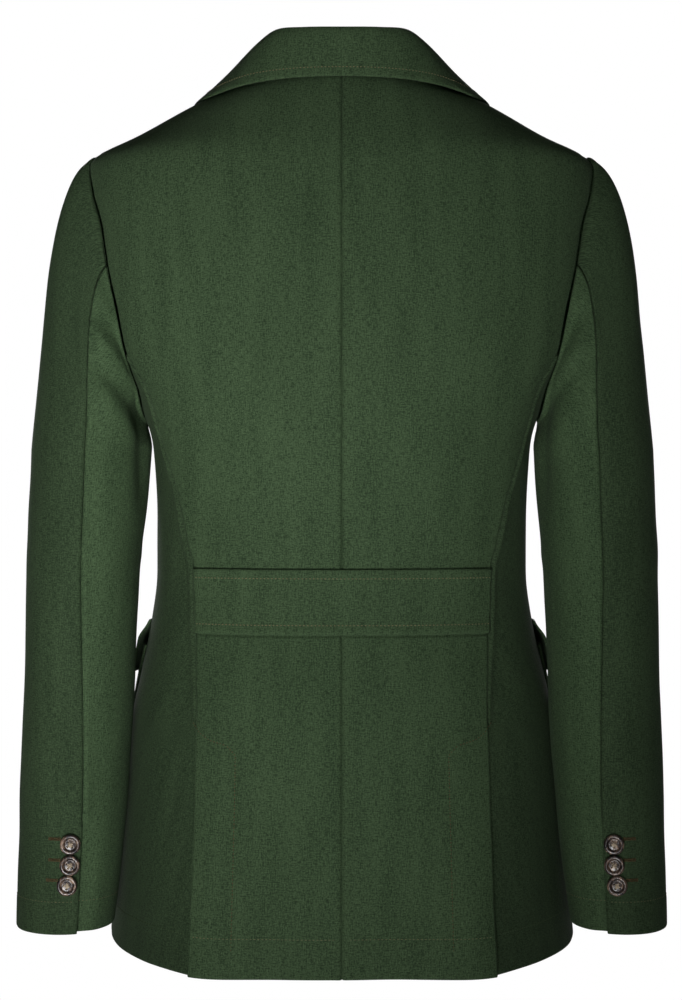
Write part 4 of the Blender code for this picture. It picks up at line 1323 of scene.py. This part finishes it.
def buttonhole(name, points, normals, side=1):
    """A worked buttonhole along a run of points: close stitches across both lips, and a bar at each end."""
    thread = bmesh.new()
    points, normals = points * (side, 1, 1), normals * (side, 1, 1)
    run = measured(points)
    lips = (-LIP_FROM_SLIT, LIP_FROM_SLIT)
    stitches = [(at, lip, LIP_STITCH) for at in np.arange(0, run[-1], LIP_PITCH) for lip in lips]
    stitches += [(0.1, 0.0, BAR_STITCH), (run[-1] - 0.1, 0.0, BAR_STITCH)]
    for number, (at, lip, (long, wide, thick)) in enumerate(stitches):
        up = Vector(value_at(at, run, normals)).normalized()
        way = Vector(value_at(at + 0.5, run, points) - value_at(at - 0.5, run, points))
        across = up.cross(way.normalized())
        ragged = 0.12 * math.sin(number * 2.7)
        middle = Vector(value_at(at, run, points)) + across * (lip + ragged) + up * 0.15
        stitch(thread, middle, (across * long, across.cross(up) * wide, up * thick), 5)
    sewn(name, thread, THREAD_BROWN)


HOLE_POINTS = 12
cuff_blank = turned_button(CUFF_BUTTON_RADIUS)
for side, name in SIDES:
    for number, (level, angle) in enumerate(zip(CUFF_BUTTON_HEIGHTS, CUFF_BUTTON_ANGLES), 1):
        hole = np.linspace(angle - CUFF_HOLE[0], angle - CUFF_HOLE[1], HOLE_POINTS)
        around = np.radians(np.array([angle, *hole]))
        height = level + np.array([0.0] + [CUFF_HOLE_OVER_BUTTON] * HOLE_POINTS)
        away = np.stack([np.cos(around), np.sin(around), 0 * around], axis=-1)
        spots = arm_point(around, height) + sleeve_drape(around, height, side)[:, None] * away
        normal = away[0] + (0, 0, 0.02)
        seat = (spots[0] + normal * 0.5) * (side, 1, 1)
        sew_button(f"cuff_button_{name}_{number}", cuff_blank, CUFF_BUTTON_RADIUS, seat,
                   normal * (side, 1, 1), 0.4 * number + side)
        buttonhole(f"cuff_buttonhole_{name}_{number}", spots[1:], away[1:], side)
front_blank = turned_button(FRONT_BUTTON_RADIUS)
for number, level in enumerate(FRONT_BUTTON_HEIGHTS, 1):
    turn = math.pi - np.array([0.0, *np.linspace(*FRONT_HOLE, HOLE_POINTS)])
    height = np.full(1 + HOLE_POINTS, float(level))
    spots, normals = over_body(-turn, height), body_normal(-turn, height)
    seat = spots[0] + normals[0] * 0.8
    sew_button(f"front_button_{number}", front_blank, FRONT_BUTTON_RADIUS, seat, normals[0], number)
    buttonhole(f"front_buttonhole_{number}", spots[1:], normals[1:])


# ------------------------------------------------------------
# Stage: a pale floor, soft studio light and the camera at the photograph's angle.
# ------------------------------------------------------------
FLOOR = -1.45


def soft_light(name, place, size, power, aim=(0, 0.08, -0.3), spread=180):
    light = bpy.data.lights.new(name, "AREA")
    light.size = size
    light.energy = power
    light.spread = math.radians(spread)
    lamp = placed(name, light)
    lamp.location = place
    lamp.rotation_mode = "QUATERNION"
    lamp.rotation_quaternion = (Vector(aim) - Vector(place)).to_track_quat("-Z", "Y")


soft_light("key with a grid", (0.283, 1.687, -1.061), 0.6, 2.5, aim=(0.25, 0.1, -0.2), spread=45)
soft_light("high fill", (0.0, 1.78, 0.316), 0.7, 3.5)
soft_light("front light from the left", (0.7, -1.9, 0.1), 0.9, 16)
soft_light("front light from the right", (-0.7, -1.9, 0.2), 0.9, 12)


def shown_white(tree, lit, seen, end):
    """Lights the jacket with one shader and shows the camera another."""
    ray = tree.nodes.new("ShaderNodeLightPath")
    either = tree.nodes.new("ShaderNodeMixShader")
    for start, inlet in ((ray.outputs["Is Camera Ray"], 0), (lit.outputs[0], 1), (seen.outputs[0], 2)):
        tree.links.new(start, either.inputs[inlet])
    tree.links.new(either.outputs[0], tree.nodes[end].inputs[0])


floor_grid = bmesh.new()
bmesh.ops.create_grid(floor_grid, x_segments=1, y_segments=1, size=30,
                      matrix=Matrix.Translation((0, 0, FLOOR)))
floor = placed("floor", meshed("floor", floor_grid))
chalk = {"Base Color": (0.8, 0.8, 0.8, 1), "Roughness": 1, "Specular IOR Level": 0}
pale, pale_nodes, _, pale_shader = new_material("pale floor", chalk)
shown_white(pale.node_tree, pale_shader, pale_nodes.new("ShaderNodeEmission"), "Material Output")
floor.data.materials.append(pale)

world = bpy.data.worlds.new("studio")
bpy.context.scene.world = world
world.use_nodes = True
dim = world.node_tree.nodes["Background"]
white = world.node_tree.nodes.new("ShaderNodeBackground")
for background, strength in ((dim, 0.03), (white, 1.0)):
    background.inputs[0].default_value = (1, 1, 1, 1)
    background.inputs[1].default_value = strength
shown_white(world.node_tree, dim, white, "World Output")
bpy.context.scene.view_settings.view_transform = "Standard"

lens = bpy.data.cameras.new("camera")
lens.lens = 72.47
lens.sensor_width = 36
camera = placed("camera", lens)
camera.location = (0.00077, 1.55, -0.3003)
camera.rotation_euler = (math.pi / 2, 0, math.pi)
bpy.context.scene.camera = camera
